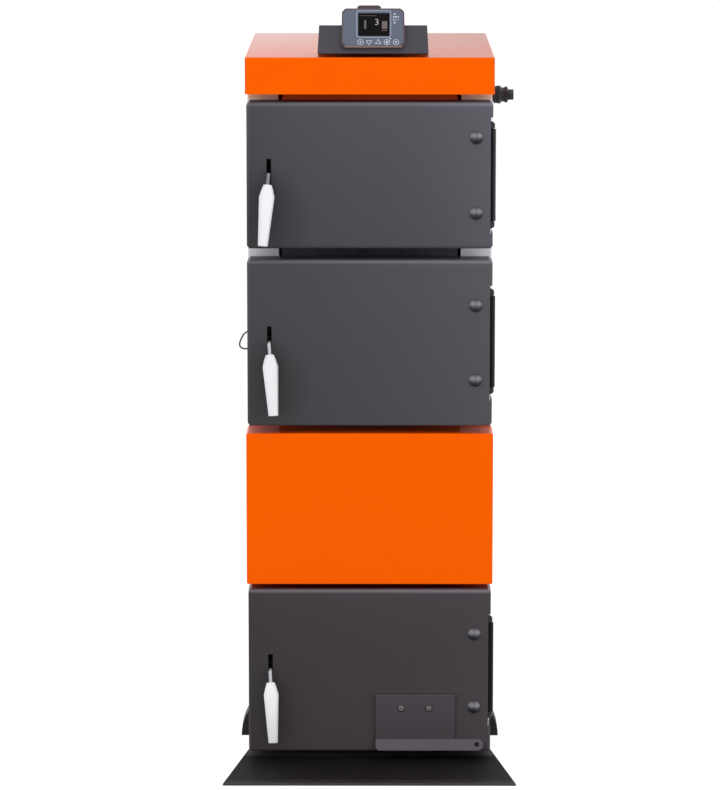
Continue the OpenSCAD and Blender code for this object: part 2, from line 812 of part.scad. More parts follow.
module tube(p, r, n) {
    rings = len(p);
    points = [for (i = [0 : rings - 1]) each tube_ring(p, i, r, n)];
    sides = [for (i = [0 : rings - 2], k = [0 : n - 1])
        [i * n + k, i * n + (k + 1) % n, (i + 1) * n + (k + 1) % n, (i + 1) * n + k]];
    caps = [[for (k = [n - 1 : -1 : 0]) k], [for (k = [0 : n - 1]) (rings - 1) * n + k]];
    polyhedron(points, concat(sides, caps));
}

module sensor_lead() {
    color("#2f3a38") tube(lead_route, lead_r, 8);
}

// ---------- Doors ----------

// Folded cover with its handle slot, hinge notch and stud holes, and the ears and pin inside it
module door_cover(mid, h) {
    color(charcoal) {
        difference() {
            translate([0, door_front, mid])
                folded_tray(door_w, h, door_fold, door_sheet, door_bend, corner_cut);
            translate([-handle_x - slot_w / 2, door_front - eps, mid - slot_h / 2])
                cube([slot_w, door_sheet + 2 * eps, slot_h]);
            translate([fold_inside + eps, door_front - eps, mid - notch_h / 2])
                cube([door_w / 2 - fold_inside, door_fold + 2 * eps, notch_h]);
            for (s = [-1, 1]) translate([nut_x, door_front + door_sheet + eps, mid + s * nut_pitch / 2])
                rod_forward(stud_r + seat, door_sheet + 2 * eps);
        }
        for (s = [-1, 1])
            translate([-handle_x + s * (hub_w / 2 + side_play + ear_t / 2) - ear_t / 2, 0, mid]) pivot_ear();
        translate([-handle_x, pivot_y, mid]) rod_across(pivot_r, hub_w + 2 * side_play + 2 * ear_t);
    }
}

// Cheek plate that carries one end of the handle's pin
module pivot_ear() {
    base = door_front + door_sheet - eps;
    rotate([90, 0, 90]) linear_extrude(ear_t) {
        translate([base, -hub_r]) square([pivot_y - base, 2 * hub_r]);
        translate([pivot_y, 0]) circle(hub_r);
    }
}

// Insulated steel box behind a cover, with the groove for its rope and the pad that fills the opening
module door_plate(mid, h) {
    beside = 18;
    above = 26;
    plate_w = opening_w + 2 * collar_t + 2 * beside;
    pad_w = opening_w - 2 * pad_gap;
    pad_h = h - 2 * opening_margin - 2 * pad_gap;
    groove = seal + 2 * seat;
    color(steel) difference() {
        union() {
            box([-plate_w / 2, door_front + door_sheet, mid - h / 2 + above],
                [plate_w / 2, plate_back, mid + h / 2 - above]);
            box([-pad_w / 2, plate_back - eps, mid - pad_h / 2],
                [pad_w / 2, plate_back + seal_gap + pad_t, mid + pad_h / 2]);
        }
        translate([0, plate_back + seal_proud - seal - seat, mid])
            ring(opening_w + collar_t - seal - 2 * seat, h - 2 * opening_margin + collar_t - seal - 2 * seat,
                seal, groove);
    }
}

module door_seal(mid, h) {
    color("#d8d4c8") translate([0, plate_back + seal_proud - seal, mid])
        ring(opening_w + collar_t - seal, h - 2 * opening_margin + collar_t - seal, seal, seal);
}

// Moving half of a hinge: leaf bolted behind the cover, arm along its fold, barrel, studs and dome nuts
module door_hinge(mid) {
    leaf_x = nut_x - leaf_over;
    leaf_front = door_front + door_sheet;
    color(charcoal) translate([0, 0, mid]) {
        difference() {
            translate([0, 0, -hinge_drop - barrel_h / 2]) linear_extrude(barrel_h) {
                translate([leaf_x, leaf_front]) square([fold_inside - seat - leaf_x, leaf_t]);
                translate([fold_inside - seat - arm_in, leaf_front]) square([arm_in, hinge_back - door_sheet]);
                translate([hinge_x, hinge_y]) circle(barrel_r);
            }
            translate([hinge_x, hinge_y, -hinge_drop - barrel_h / 2 - eps])
                cylinder(h = barrel_h + 2 * eps, r = hinge_pin_r + seat);
        }
        for (s = [-1, 1]) translate([nut_x, leaf_front + eps, s * nut_pitch / 2]) {
            rod_forward(stud_r, 2 * door_sheet);
            dome_nut();
        }
    }
}

// Domed nut with its washer, seated on the door's face
module dome_nut() {
    washer_t = 1.5;
    dome_h = 9;
    dome_r = nut_r - 1;
    cap_r = (dome_r * dome_r + dome_h * dome_h) / (2 * dome_h);
    translate([0, -door_sheet - eps, 0]) {
        rod_forward(nut_r, washer_t);
        difference() {
            translate([0, -washer_t - dome_h + cap_r, 0]) sphere(cap_r);
            translate([-cap_r, -washer_t + eps, -cap_r]) cube([2 * cap_r, 2 * cap_r, 2 * cap_r]);
        }
    }
}

// Frame at a handle's pivot: turned up by the lever's lift
module at_pivot(mid, hang) {
    translate([-handle_x, pivot_y, mid]) rotate([-hang[2], 0, 0]) children();
}

// Frame at a lever's elbow: z runs down the hanging rod
module at_elbow(mid, hang) {
    at_pivot(mid, hang) translate([0, -pivot_back - rod_reach, 0]) rotate([-grip_tilt, 0, 0])
        rotate([0, 180 - hang[0], 0]) children();
}

// Lever that turns on the cover's pin: bent rod in front, tapered tongue behind
module handle_lever(mid, hang) {
    elbow_bulge = 0.4;
    color(zinc) difference() {
        union() {
            at_pivot(mid, hang) {
                rod_across(hub_r, hub_w);
                rod_forward(rod_r, pivot_back + rod_reach);
                translate([-tongue_w / 2, 0, 0]) rotate([90, 0, 90]) linear_extrude(tongue_w)
                    polygon([[0, -tongue_h / 2], [tongue_l - tongue_h / 2, -tongue_h / 2], [tongue_l, 0],
                        [tongue_l - keeper_short, tongue_h / 2], [0, tongue_h / 2]]);
            }
            at_elbow(mid, hang) {
                sphere(rod_r + elbow_bulge);
                cylinder(h = rod_drop + rod_in, r = rod_r);
            }
        }
        at_pivot(mid, hang) rod_across(pivot_r + seat, hub_w + 2);
    }
}

// Bevelled grip that widens to its shoulder and narrows to its end, pushed onto the rod
module handle_grip(mid, hang) {
    diagonal = function (w, t) (w + t - 2 * grip_bevel) / sqrt(2);
    corners = [diagonal(grip_top_w, grip_top_t), diagonal(grip_w, grip_t), diagonal(grip_end_w, grip_end_t)];
    color(white_plastic) at_elbow(mid, hang) translate([0, 0, rod_drop]) rotate([0, 0, hang[1]])
        difference() {
            intersection() {
                grip_side([grip_top_w, grip_w, grip_end_w]);
                rotate([0, 0, 90]) grip_side([grip_top_t, grip_t, grip_end_t]);
                for (a = [45, -45]) rotate([0, 0, a]) grip_side(corners);
            }
            translate([0, 0, -eps]) cylinder(h = rod_in + fit_gap, r = rod_r + seat);
        }
}

// Outline of a grip from one side, its widths at the top, shoulder and end, extruded through it
module grip_side(widths) {
    rotate([90, 0, 0]) translate([0, 0, -grip_w]) linear_extrude(2 * grip_w)
        polygon([[-widths[0] / 2, 0], [widths[0] / 2, 0], [widths[1] / 2, grip_shoulder],
            [widths[2] / 2, grip_l], [-widths[2] / 2, grip_l], [-widths[1] / 2, grip_shoulder]]);
}

// ---------- Air flap of the ash door ----------

// Lugs and pins on the door's face that the flap hangs from
module flap_lugs() {
    translate(flap_axis) for (s = [-1, 1]) {
        translate([s * (flap_w / 2 + flap_lug_gap + flap_lug_t / 2) - flap_lug_t / 2, -flap_lug_r, -flap_lug_r])
            cube([flap_lug_t, flap_lug_r + flap_barrel_r + flap_rest + eps, 2 * flap_lug_r]);
        translate([s * (flap_w / 2 - flap_pin_l / 2 + 1), 0, 0]) rod_across(flap_pin_r, flap_pin_l);
    }
}

// Plate with a rolled edge on its pins, two screws and a bent lip that runs out to the chain ear
module air_flap() {
    color(charcoal) {
        difference() {
            union() {
                translate(flap_axis) rod_across(flap_barrel_r, flap_w);
                box([flap_x, flap_front, ash_z + flap_z],
                    [flap_x + flap_w, flap_front + flap_t, flap_axis[2]]);
            }
            translate(flap_axis) rod_across(flap_pin_r + seat, flap_w + 2);
        }
        for (x = flap_screws) translate([flap_x + x, flap_front + eps, flap_axis[2] - flap_screw_down])
            rod_forward(flap_screw_r, flap_screw_h + eps);
        flap_lip();
    }
}

module flap_lip() {
    ear_x = flap_w + ear_reach - lip_w / 2;
    translate([flap_x, flap_front + flap_t / 2, ash_z + flap_z + flap_t / 2]) rotate([90 - lip_angle, 0, 0])
        mirror([0, 1, 0]) translate([0, 0, -flap_t / 2]) linear_extrude(flap_t) difference() {
            union() {
                polygon([[0, 0], [ear_x, 0], [ear_x, lip_w], [lip_cut, lip_w], [0, lip_w - lip_cut]]);
                translate([ear_x, lip_w / 2]) circle(lip_w / 2);
            }
            translate([ear_x, lip_w / 2]) circle(chain_hole / 2);
        }
}

module ash_cover() {
    color(charcoal) {
        difference() {
            door_cover(ash_mid, ash_door_h);
            air_inlet();
        }
        flap_lugs();
    }
}

module ash_plate() {
    color(steel) difference() {
        door_plate(ash_mid, ash_door_h);
        air_inlet();
    }
}

// Passage for the fire's air through the door, behind the flap and inside the pad
module air_inlet() {
    box([inlet_left, door_front - 1, inlet_top - inlet_h], [inlet_right, casing_front, inlet_top]);
}

base_frame();
floor_apron();
foot_brackets();
side_panel_left();
side_panel_right();
back_panel();
top_cover();
front_panel();
jacket_side(-1);  // jacket_left
jacket_side(1);  // jacket_right
jacket_back();
jacket_top();
jacket_bottom();
jacket_posts();
jacket_lintels();
smoke_shelves();
grate();
opening_collars();
hinge_brackets();
latch_keepers();
flue_outlet();
water_stubs();
drain_stub();
controller_bracket();
controller_housing();
controller_box();
controller_fascia();
controller_display();
cable_gland();
lead_grommets();
sensor_lead();
door_cover(upper_mid, upper_door_h);  // upper_door_cover
door_plate(upper_mid, upper_door_h);  // upper_door_plate
door_seal(upper_mid, upper_door_h);  // upper_door_seal
door_hinge(upper_mid);  // upper_door_hinge
handle_lever(upper_mid, upper_hang);  // upper_handle_lever
handle_grip(upper_mid, upper_hang);  // upper_handle_grip
door_cover(loading_mid, loading_door_h);  // loading_door_cover
door_plate(loading_mid, loading_door_h);  // loading_door_plate
door_seal(loading_mid, loading_door_h);  // loading_door_seal
door_hinge(loading_mid);  // loading_door_hinge
handle_lever(loading_mid, loading_hang);  // loading_handle_lever
handle_grip(loading_mid, loading_hang);  // loading_handle_grip
ash_cover();  // ash_door_cover
ash_plate();  // ash_door_plate
door_seal(ash_mid, ash_door_h);  // ash_door_seal
door_hinge(ash_mid);  // ash_door_hinge
handle_lever(ash_mid, ash_hang);  // ash_handle_lever
handle_grip(ash_mid, ash_hang);  // ash_handle_grip
air_flap();
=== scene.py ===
"""Looks of an upright solid fuel boiler: its finishes, and the pieces too fine for the plain solids."""

import logging
import math
from collections.abc import Callable, Sequence
from dataclasses import dataclass, field
from enum import Enum
from typing import Any, Union

import bmesh
import bpy
from mathutils import Matrix, Vector

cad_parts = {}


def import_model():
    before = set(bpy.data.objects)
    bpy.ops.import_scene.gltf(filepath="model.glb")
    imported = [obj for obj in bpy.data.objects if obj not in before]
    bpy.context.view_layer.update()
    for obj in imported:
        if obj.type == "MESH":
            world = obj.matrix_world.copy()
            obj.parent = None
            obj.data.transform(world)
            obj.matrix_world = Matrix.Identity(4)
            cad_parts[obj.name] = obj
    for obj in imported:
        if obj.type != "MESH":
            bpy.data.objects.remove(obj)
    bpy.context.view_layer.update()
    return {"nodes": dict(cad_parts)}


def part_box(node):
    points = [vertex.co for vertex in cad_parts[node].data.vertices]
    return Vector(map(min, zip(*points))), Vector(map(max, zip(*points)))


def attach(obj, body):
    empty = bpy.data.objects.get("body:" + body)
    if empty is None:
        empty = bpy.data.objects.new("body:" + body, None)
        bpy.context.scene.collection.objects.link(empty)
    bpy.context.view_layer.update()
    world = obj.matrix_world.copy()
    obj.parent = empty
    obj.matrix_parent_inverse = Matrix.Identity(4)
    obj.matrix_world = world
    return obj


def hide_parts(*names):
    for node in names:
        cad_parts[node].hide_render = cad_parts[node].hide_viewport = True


LOG = logging.getLogger("boiler")
MM = 0.001
# Farther out than any piece reaches, in metres
NOWHERE = 9.0
# The heights that part the ash door from the loading door, and that from the upper door
LOADING_FROM = 0.5
UPPER_FROM = 1.04
Colour = tuple[float, float, float]
Point = tuple[float, float, float]
Pair = tuple[float, float]
Piece = bpy.types.Object
# Near black, painted as shade on what lies behind the doors' slots
SHADE_BLACK: Colour = (0.004, 0.004, 0.004)
# The air flap's screws, across and up, in millimetres
FLAP_SCREWS: tuple[Pair, ...] = ((65.0, 109.5), (121.5, 109.5))
# Points nearer than this to a level lie on it, in millimetres
NEAR = 0.01
# A face is level where its normal's Z is beyond this
LEVEL = 0.9
# An edge is steep where its direction's Z is beyond this
STEEP = 0.7


def srgb(red: int, green: int, blue: int) -> Colour:
    """Turn a screen colour of 0 to 255 into the linear numbers that shaders use.

    Args:
        red: The red channel.
        green: The green channel.
        blue: The blue channel.

    Returns:
        The three linear channels.
    """
    channels = [value / 255 for value in (red, green, blue)]
    linear = [c / 12.92 if c <= 0.04045 else ((c + 0.055) / 1.055) ** 2.4 for c in channels]
    return linear[0], linear[1], linear[2]


def shade(colour: Colour, by: float) -> Colour:
    """Return the colour made lighter or darker by a factor."""
    return colour[0] * by, colour[1] * by, colour[2] * by


def shift(x: float, y: float, z: float) -> Matrix:
    """Return a move, given in millimetres."""
    return Matrix.Translation(Vector((x, y, z)) * MM)


def spin(degrees: float, axis: str) -> Matrix:
    """Return a turn about the X, Y or Z axis."""
    return Matrix.Rotation(math.radians(degrees), 4, axis)


def linked(piece: Piece) -> Piece:
    """Put a piece into the scene."""
    bpy.context.scene.collection.objects.link(piece)
    return piece


class Door(Enum):
    """The three doors: middle, and the lean, turn and lift of the hanging grip."""

    UPPER = ("upper", 1208.0, -4.4, -12.0, 5.0)
    LOADING = ("loading", 867.0, 3.5, 12.0, 0.0)
    ASH = ("ash", 187.5, 2.4, 0.0, 0.0)

    def __init__(self, label: str, middle: float, lean: float, turn: float, lift: float) -> None:
        """Keep the door's numbers, in millimetres and degrees."""
        self.label, self.middle = label, middle
        self.lean, self.turn, self.lift = lean, turn, lift


# ---------------------------------------------------------------- shaders


def maths(operation: str, swapped: bool = False) -> Callable[..., "Sock"]:
    """Make a method of Sock that adds one Math node.

    Args:
        operation: What the node does.
        swapped: Whether the other value comes first.

    Returns:
        The method.
    """

    def method(self: "Sock", other: "Value" = 0.0) -> "Sock":
        """Return the result for self and the other value."""
        first, second = (other, self) if swapped else (self, other)
        return self.nodes.add("ShaderNodeMath", {"operation": operation}, {0: first, 1: second})

    return method


class Sock:
    """A socket's value, so that shader maths is written as plain expressions."""

    __add__ = maths("ADD")
    __radd__ = maths("ADD", swapped=True)
    __sub__ = maths("SUBTRACT")
    __rsub__ = maths("SUBTRACT", swapped=True)
    __mul__ = maths("MULTIPLY")
    __rmul__ = maths("MULTIPLY", swapped=True)
    __truediv__ = maths("DIVIDE")
    __rtruediv__ = maths("DIVIDE", swapped=True)
    __abs__ = maths("ABSOLUTE")
    above = maths("GREATER_THAN")
    below = maths("LESS_THAN")
    most = maths("MAXIMUM")
    wave = maths("SINE")

    def __init__(self, nodes: "Nodes", socket: bpy.types.NodeSocket | None) -> None:
        """Keep the tree that the socket belongs to, and the socket."""
        self.nodes = nodes
        self.socket = socket

    def ease(self, low: float, high: float) -> "Sock":
        """Return a soft step that is 0 at low and 1 at high."""
        values = {"Value": self, "From Min": low, "From Max": high}
        return self.nodes.add("ShaderNodeMapRange", {"interpolation_type": "SMOOTHSTEP"}, values)


Value = Union[Sock, float]
Key = Union[int, str]


class Nodes:
    """A node tree, and the one method that adds nodes to it."""

    def __init__(self, tree: bpy.types.NodeTree) -> None:
        """Keep the tree and empty it."""
        self.tree = tree
        tree.nodes.clear()

    @staticmethod
    def _find(sockets: Any, key: Key) -> bpy.types.NodeSocket:
        """Return a socket by its index, its identifier or its name."""
        named = {socket.identifier: socket for socket in sockets}
        return named[key] if key in named else sockets[key]

    def give(self, socket: bpy.types.NodeSocket, value: Any) -> None:
        """Give a socket its value.

        Args:
            socket: The socket.
            value: A number, a vector, a colour or what to link it to.
        """
        if isinstance(value, Sock):
            self.tree.links.new(value.socket, socket)
        elif isinstance(value, tuple) and socket.type == "RGBA":
            socket.default_value = (*value, 1.0)
        else:
            socket.default_value = value

    def add(
        self, kind: str, settings: dict[str, Any], values: dict[Any, Any], output: Key | None = 0
    ) -> Sock:
        """Make any node and return one of its outputs.

        Args:
            kind: The node's type.
            settings: Its properties, and a ramp's stops, which are set first.
            values: Numbers, colours or links for its sockets.
            output: Which output to return, or None where it has none.

        Returns:
            The output, ready for maths.
        """
        node = self.tree.nodes.new(kind)
        for name, setting in settings.items():
            if name == "stops":
                ramp = node.color_ramp
                while len(ramp.elements) < len(setting):
                    ramp.elements.new(0.5)
                for element, (position, colour) in zip(ramp.elements, setting):
                    element.position = position
                    element.color = (*colour, 1.0)
            else:
                setattr(node, name, setting)
        for key, value in values.items():
            self.give(self._find(node.inputs, key), value)
        return Sock(self, None if output is None else self._find(node.outputs, output))

    def several(self, kind: str, values: dict[Any, Any], *names: Key) -> list[Sock]:
        """Make one node and return several of its outputs."""
        node = self.add(kind, {}, values, names[0]).socket.node
        return [Sock(self, self._find(node.outputs, name)) for name in names]

    def shown(self) -> Sock:
        """Tell the rays that show the surface itself: seen, mirrored or through glass.

        Returns:
            1 for those rays and 0 for all others.
        """
        names = ("Is Camera Ray", "Is Glossy Ray", "Is Transmission Ray")
        seen, mirrored, through = self.several("ShaderNodeLightPath", {}, *names)
        return seen.most(mirrored).most(through)


class Graph(Nodes):
    """One material's node tree, with the piece's own coordinates at hand."""

    def __init__(self, name: str) -> None:
        """Start a material that holds a Principled shader only.

        Args:
            name: The material's name.
        """
        self.material = bpy.data.materials.new(name)
        self.material.use_nodes = True
        super().__init__(self.material.node_tree)
        shader = self.add("ShaderNodeBsdfPrincipled", {}, {})
        self.skin = shader.socket.node
        self.add("ShaderNodeOutputMaterial", {}, {"Surface": shader}, None)
        self.place = self.add("ShaderNodeTexCoord", {}, {}, "Object")
        self.x, self.y, self.z = self.several("ShaderNodeSeparateXYZ", {"Vector": self.place}, 0, 1, 2)

    def noise(self, scale: float, detail: float = 3.0, rough: float = 0.5, place: Sock | None = None) -> Sock:
        """Return a cloudy value of 0 to 1, scale being its waves per metre."""
        values = {"Vector": place or self.place, "Scale": scale, "Detail": detail, "Roughness": rough}
        return self.add("ShaderNodeTexNoise", {}, values, "Fac")

    def cells(self, scale: float) -> Sock:
        """Return the distance to the nearest of scattered points."""
        return self.add("ShaderNodeTexVoronoi", {}, {"Vector": self.place, "Scale": scale}, "Distance")

    def stretched(self, x: float, y: float, z: float) -> Sock:
        """Return the piece's coordinates multiplied along each axis."""
        return self.add("ShaderNodeMapping", {}, {"Vector": self.place, "Scale": (x, y, z)})

    def blend(self, factor: Value, first: Any, second: Any) -> Sock:
        """Mix two colours.

        Args:
            factor: 0 for the first colour, 1 for the second.
            first: A colour or a link.
            second: A colour or a link.

        Returns:
            The mixed colour.
        """
        settings = {"data_type": "RGBA", "blend_type": "MIX", "clamp_factor": True}
        values = {"Factor_Float": factor, "A_Color": first, "B_Color": second}
        return self.add("ShaderNodeMix", settings, values, "Result_Color")

    def between(self, factor: Value, colour: Colour, low: float, high: float) -> Sock:
        """Return the colour, low times as light where the factor is 0 and high times where it is 1."""
        return self.blend(factor, shade(colour, low), shade(colour, high))

    def bump(self, height: Value, depth: float, strength: float = 1.0) -> Sock:
        """Return a normal that follows a height of 0 to 1 over a depth in metres."""
        values = {"Height": height, "Distance": depth, "Strength": strength}
        return self.add("ShaderNodeBump", {}, values, "Normal")

    def peak(self, value: Sock, middle: float, reach: float) -> Sock:
        """Return 1 where the value is at the middle, falling to 0 at the reach on both sides."""
        return (1.0 - abs(value - middle) / reach).most(0.0)

    def blot(self, across: Sock, along: Sock, full: float, none: float) -> Sock:
        """Return 1 in a round blot that fades out from one squared distance to another."""
        return 1.0 - (across * across + along * along).ease(full, none)

    def toned(self, colour: Any, by: Value) -> Sock:
        """Return a colour made lighter or darker by a varying factor."""
        values = {"Vector": colour, "Scale": by}
        return self.add("ShaderNodeVectorMath", {"operation": "SCALE"}, values, "Vector")

    def tone(self, by: Value) -> None:
        """Make the finish laid on so far lighter or darker by a varying factor."""
        self.set(Base_Color=self.toned(self.held("Base Color"), by))

    def held(self, name: str) -> Sock:
        """Return what feeds one of the shader's sockets now."""
        return Sock(self, self.skin.inputs[name].links[0].from_socket)

    def cover(self, mask: Sock, colour: Any, rough: float | None = None) -> None:
        """Lay another colour, and another gloss if one is given, over the finish where the mask is 1.

        Args:
            mask: Where the new colour lies.
            colour: The new colour.
            rough: The new roughness.
        """
        self.set(Base_Color=self.blend(mask, self.held("Base Color"), colour))
        if rough is not None:
            old = self.held("Roughness")
            self.set(Roughness=old + (rough - old) * mask)

    def set(self, **sockets: Any) -> None:
        """Give the shader's own sockets their values, spaces in their names written as underscores."""
        for name, value in sockets.items():
            self.give(self.skin.inputs[name.replace("_", " ")], value)


@dataclass(frozen=True)
class Finish:
    """A surface finish that makes its own material."""

    name: str
    colour: Colour

    def build(self) -> bpy.types.Material:
        """Make the material and lay the finish on it.

        Returns:
            The material.
        """
        graph = Graph(f"finish_{self.name}")
        self.lay_on(graph)
        return graph.material

    def lay_on(self, g: Graph) -> None:
        """Give the graph this finish's colour, gloss and relief."""
        g.set(Base_Color=self.colour)


@dataclass(frozen=True)
class PowderCoat(Finish):
    """Baked powder paint: fine orange peel, a slow drift of tone, and dust in its grain."""

    gloss: float = 0.42
    specular: float = 0.3
    grain: float = 900.0
    depth: float = 0.00005
    mottle: float = 0.08
    dust: float = 0.0
    tint: Colour = (1.0, 1.0, 1.0)

    def lay_on(self, g: Graph) -> None:
        """Lay on the paint's drift of tone, its speckle and its peel.

        Args:
            g: The material's graph.
        """
        drift = g.noise(4.5, 2.0)
        speckle = g.noise(self.grain * 0.55, 2.0, 0.7)
        lit = (drift - 0.5) * self.mottle + (speckle - 0.5) * self.mottle * 1.2 + 0.5
        colour = g.between(lit.ease(0.35, 0.65), self.colour, 0.9, 1.1)
        if self.dust:
            film = g.noise(14.0, 5.0, 0.65).ease(0.5, 0.8) * self.dust
            colour = g.blend(film, colour, srgb(150, 145, 140))
        peel = g.noise(self.grain, 3.0, 0.6)
        swell = g.noise(self.grain * 0.16, 2.0)
        g.set(
            Base_Color=colour,
            Roughness=self.gloss + (speckle - 0.5) * 0.12 + (drift - 0.5) * 0.06,
            Normal=g.bump(peel * 0.7 + swell * 0.3, self.depth),
            Specular_IOR_Level=self.specular,
            Specular_Tint=self.tint,
        )


@dataclass(frozen=True)
class DoorCoat(PowderCoat):
    """A door's textured coat: a drift of tone that is painted light, painted highlights on the bends, a
    painted shadow round the grip, painted shade at the lower edge and on the cover's inner side, and a
    painted reflection of the orange panel on its top.

    The drift, painted light, is the share of the colour at the middle, then how it changes with x, x squared,
    x cubed, z and z squared, x and z running from -1 to 1 over the door. The painted grip shadow's place is
    its x, its height over the door's middle, and how far it reaches both ways.
    """

    gloss: float = 0.46
    grain: float = 1100.0
    depth: float = 0.00012
    mottle: float = 0.13
    low: float = 0.0
    high: float = 0.0
    drift: tuple[float, ...] = (1.0, 0.0, 0.0, 0.0, 0.0, 0.0)
    # Painted highlights: their strength on the top bend and on the left side bend, and where that side bend
    # lies
    rim: float = 1.0
    bend: float = 0.3
    bend_x: float = -0.2458
    # Painted shade along the door's lower edge
    bottom_shade: float = 0.0
    # Painted shadow round the grip: its strength, then its place and reach
    grip_shadow: float = 0.3
    grip_shadow_place: tuple[float, float, float, float] = (-0.205, -0.085, 0.075, 0.095)
    # Painted reflection of the orange panel on the door's top, behind panel_shadow
    mirrored: float = 0.0
    panel_shadow: float = -0.388
    # Where the cover's inner side lies, which gets painted shade
    side: float = 0.2462
    inner: float = -0.3909

    def lay_on(self, g: Graph) -> None:
        """Lay the coat on, then its painted light: drift, bend highlights, grip shadow and lower-edge shade;
        then a painted reflection on the top, and painted shade on the cover's inner side.

        Args:
            g: The material's graph.
        """
        super().lay_on(g)
        half = (self.high - self.low) / 2
        middle = self.low + half
        # Painted light: the drift of tone stands in for the lamps' uneven light across the door
        u = g.x * 4.0
        v = (g.z - middle) / half
        base, x1, x2, x3, z1, z2 = self.drift
        tone = ((u * x3 + x2) * u + x1) * u + (v * z2 + z1) * v + base
        x, z, wide, tall = self.grip_shadow_place
        # Painted shadow of the grip on the door
        tone = tone * (1.0 - g.blot((g.x - x) / wide, (g.z - middle - z) / tall, 0.1, 1.6) * self.grip_shadow)
        # Painted highlights on the top bend and on the left side bend
        tone = tone * (g.peak(g.z, self.high - 0.0042, 0.0055) * self.rim + 1.0)
        tone = tone * (g.peak(g.x, self.bend_x, 0.0038) * self.bend + 1.0)
        # Painted shade along the door's lower edge
        g.tone(tone * ((g.z - self.low).ease(0.0, 0.01) * self.bottom_shade + (1.0 - self.bottom_shade)))
        # Painted reflection of the orange panel, red and metallic, on the rear of the door's top
        on_top = (g.z - self.high + 0.0004).above(0.0)
        panel_reflection = on_top * (g.y - self.panel_shadow).ease(0.0, 0.014) * self.mirrored
        g.cover(panel_reflection, (0.22, 0.005, 0.0))
        g.set(Metallic=panel_reflection)
        # Painted shade on the cover's inner side, seen through the slot
        behind = (g.y - self.inner).ease(0.0, 0.0005)
        between = (self.side - abs(g.x)).ease(0.0, 0.0005)
        level = (half - 0.0024 - abs(g.z - middle)).ease(0.0, 0.0005)
        g.cover(behind * between * level, shade(self.colour, 0.2), 0.7)


@dataclass(frozen=True)
class FlapCoat(PowderCoat):
    """The air flap's coat, with a painted highlight on the folded lip and its upper edge, and painted shadow
    round the screws.
    """

    # Where the lip's painted highlight starts along Y, the height of its brightest line, and the radius of
    # the painted shadow round each screw
    lip: float = -0.4012
    ridge: float = 0.0451
    ring: float = 0.0088

    def lay_on(self, g: Graph) -> None:
        """Lay the coat on, then paint a highlight on the lip and a shadow in the ring round each screw.

        Args:
            g: The material's graph.
        """
        super().lay_on(g)
        # Painted highlight: the bent-out lip lighter, brightest along its upper edge
        lip = (self.lip - g.y).ease(0.0, 0.001)
        g.tone((g.peak(g.z, self.ridge, 0.003) * 1.5 + 0.52) * lip + 1.0)
        # Painted shadow round each screw head
        for x, z in FLAP_SCREWS:
            ring = g.blot((g.x - x * MM) / self.ring, (g.z - z * MM) / self.ring, 0.72, 1.0)
            g.cover(ring, shade(self.colour, 0.25))


@dataclass(frozen=True)
class CoverCoat(PowderCoat):
    """The orange coat, whose flat top is polished by wiping towards the back and darkened by painted shade.
    """

    top: float = 1.4455
    front: float = -0.393
    back: float = 0.295

    def lay_on(self, g: Graph) -> None:
        """Lay the coat on, then its wiped top with long faint streaks, and painted shade on the top.

        Args:
            g: The material's graph.
        """
        super().lay_on(g)
        on_top = (g.z - self.top).above(0.0)
        along = (g.y - self.front) / (self.back - self.front)
        right = g.x.ease(-0.25, 0.25)
        streaks = g.noise(1.0, 4.0, 0.6, g.stretched(7.0, 30.0, 1.0)).ease(0.35, 0.7)
        wiped = 0.25 - along * 0.12 + right * (along * 0.07 + 0.03) + streaks * 0.03
        g.set(Roughness=g.held("Roughness") * (1.0 - on_top) + wiped * on_top)
        # Painted shade on the top, deeper towards the back and the right
        painted_light = 0.24 + along * 0.18 + right * 0.17
        g.tone(1.0 - painted_light * on_top)


@dataclass(frozen=True)
class FlangeCoat(PowderCoat):
    """The pale casing's coat, with painted light on the front flanges between the doors, painted orange light
    and shade in strips on them, and painted shade behind the slots.

    The shaded and the orange-lit strips of the flanges, in painted shade and painted orange light, are each
    the middle height and the reach. The painted shade behind the slots has its x, its height over each door's
    middle, and how far it reaches across and up.
    """

    front: float = -0.2915
    soot_and_shade: tuple[float, float, float, float] = (-0.204, -0.012, 0.024, 0.05)
    orange_light_above: float = 1.352
    shaded: Pair = (0.677, 0.012)
    orange_lit: Pair = (0.3435, 0.007)

    def lay_on(self, g: Graph) -> None:
        """Lay the coat on, then paint light on the front flanges, orange light and shade in strips on them,
        and shade behind the slots.

        Args:
            g: The material's graph.
        """
        super().lay_on(g)
        # Painted light: the front flanges lighter than the rest of the casing
        flange = (self.front - g.y).ease(0.0, 0.0004)
        g.cover(flange, srgb(238, 237, 243))
        # Painted orange light from the cover above, on the flanges' upper part
        g.cover(flange * (g.z - self.orange_light_above).ease(0.0, 0.004), srgb(255, 196, 166))
        # Painted shade, and painted orange light from the panel, in strips between the doors
        right = g.x.above(0.0)
        for (middle, reach), left_hand, right_hand in (
            (self.shaded, srgb(132, 179, 213), srgb(65, 107, 129)),
            (self.orange_lit, srgb(255, 222, 150), srgb(255, 160, 108)),
        ):
            strip = (reach - abs(g.z - middle)).ease(0.0, 0.003)
            g.cover(flange * strip, g.blend(right, left_hand, right_hand))
        # Painted shade on the flanges behind each door's slot
        x, over, wide, tall = self.soot_and_shade
        for door in Door:
            smudge_and_shade = g.blot((g.x - x) / wide, (g.z - (door.middle * MM + over)) / tall, 0.55, 1.3)
            g.cover(flange * smudge_and_shade, SHADE_BLACK, 0.9)


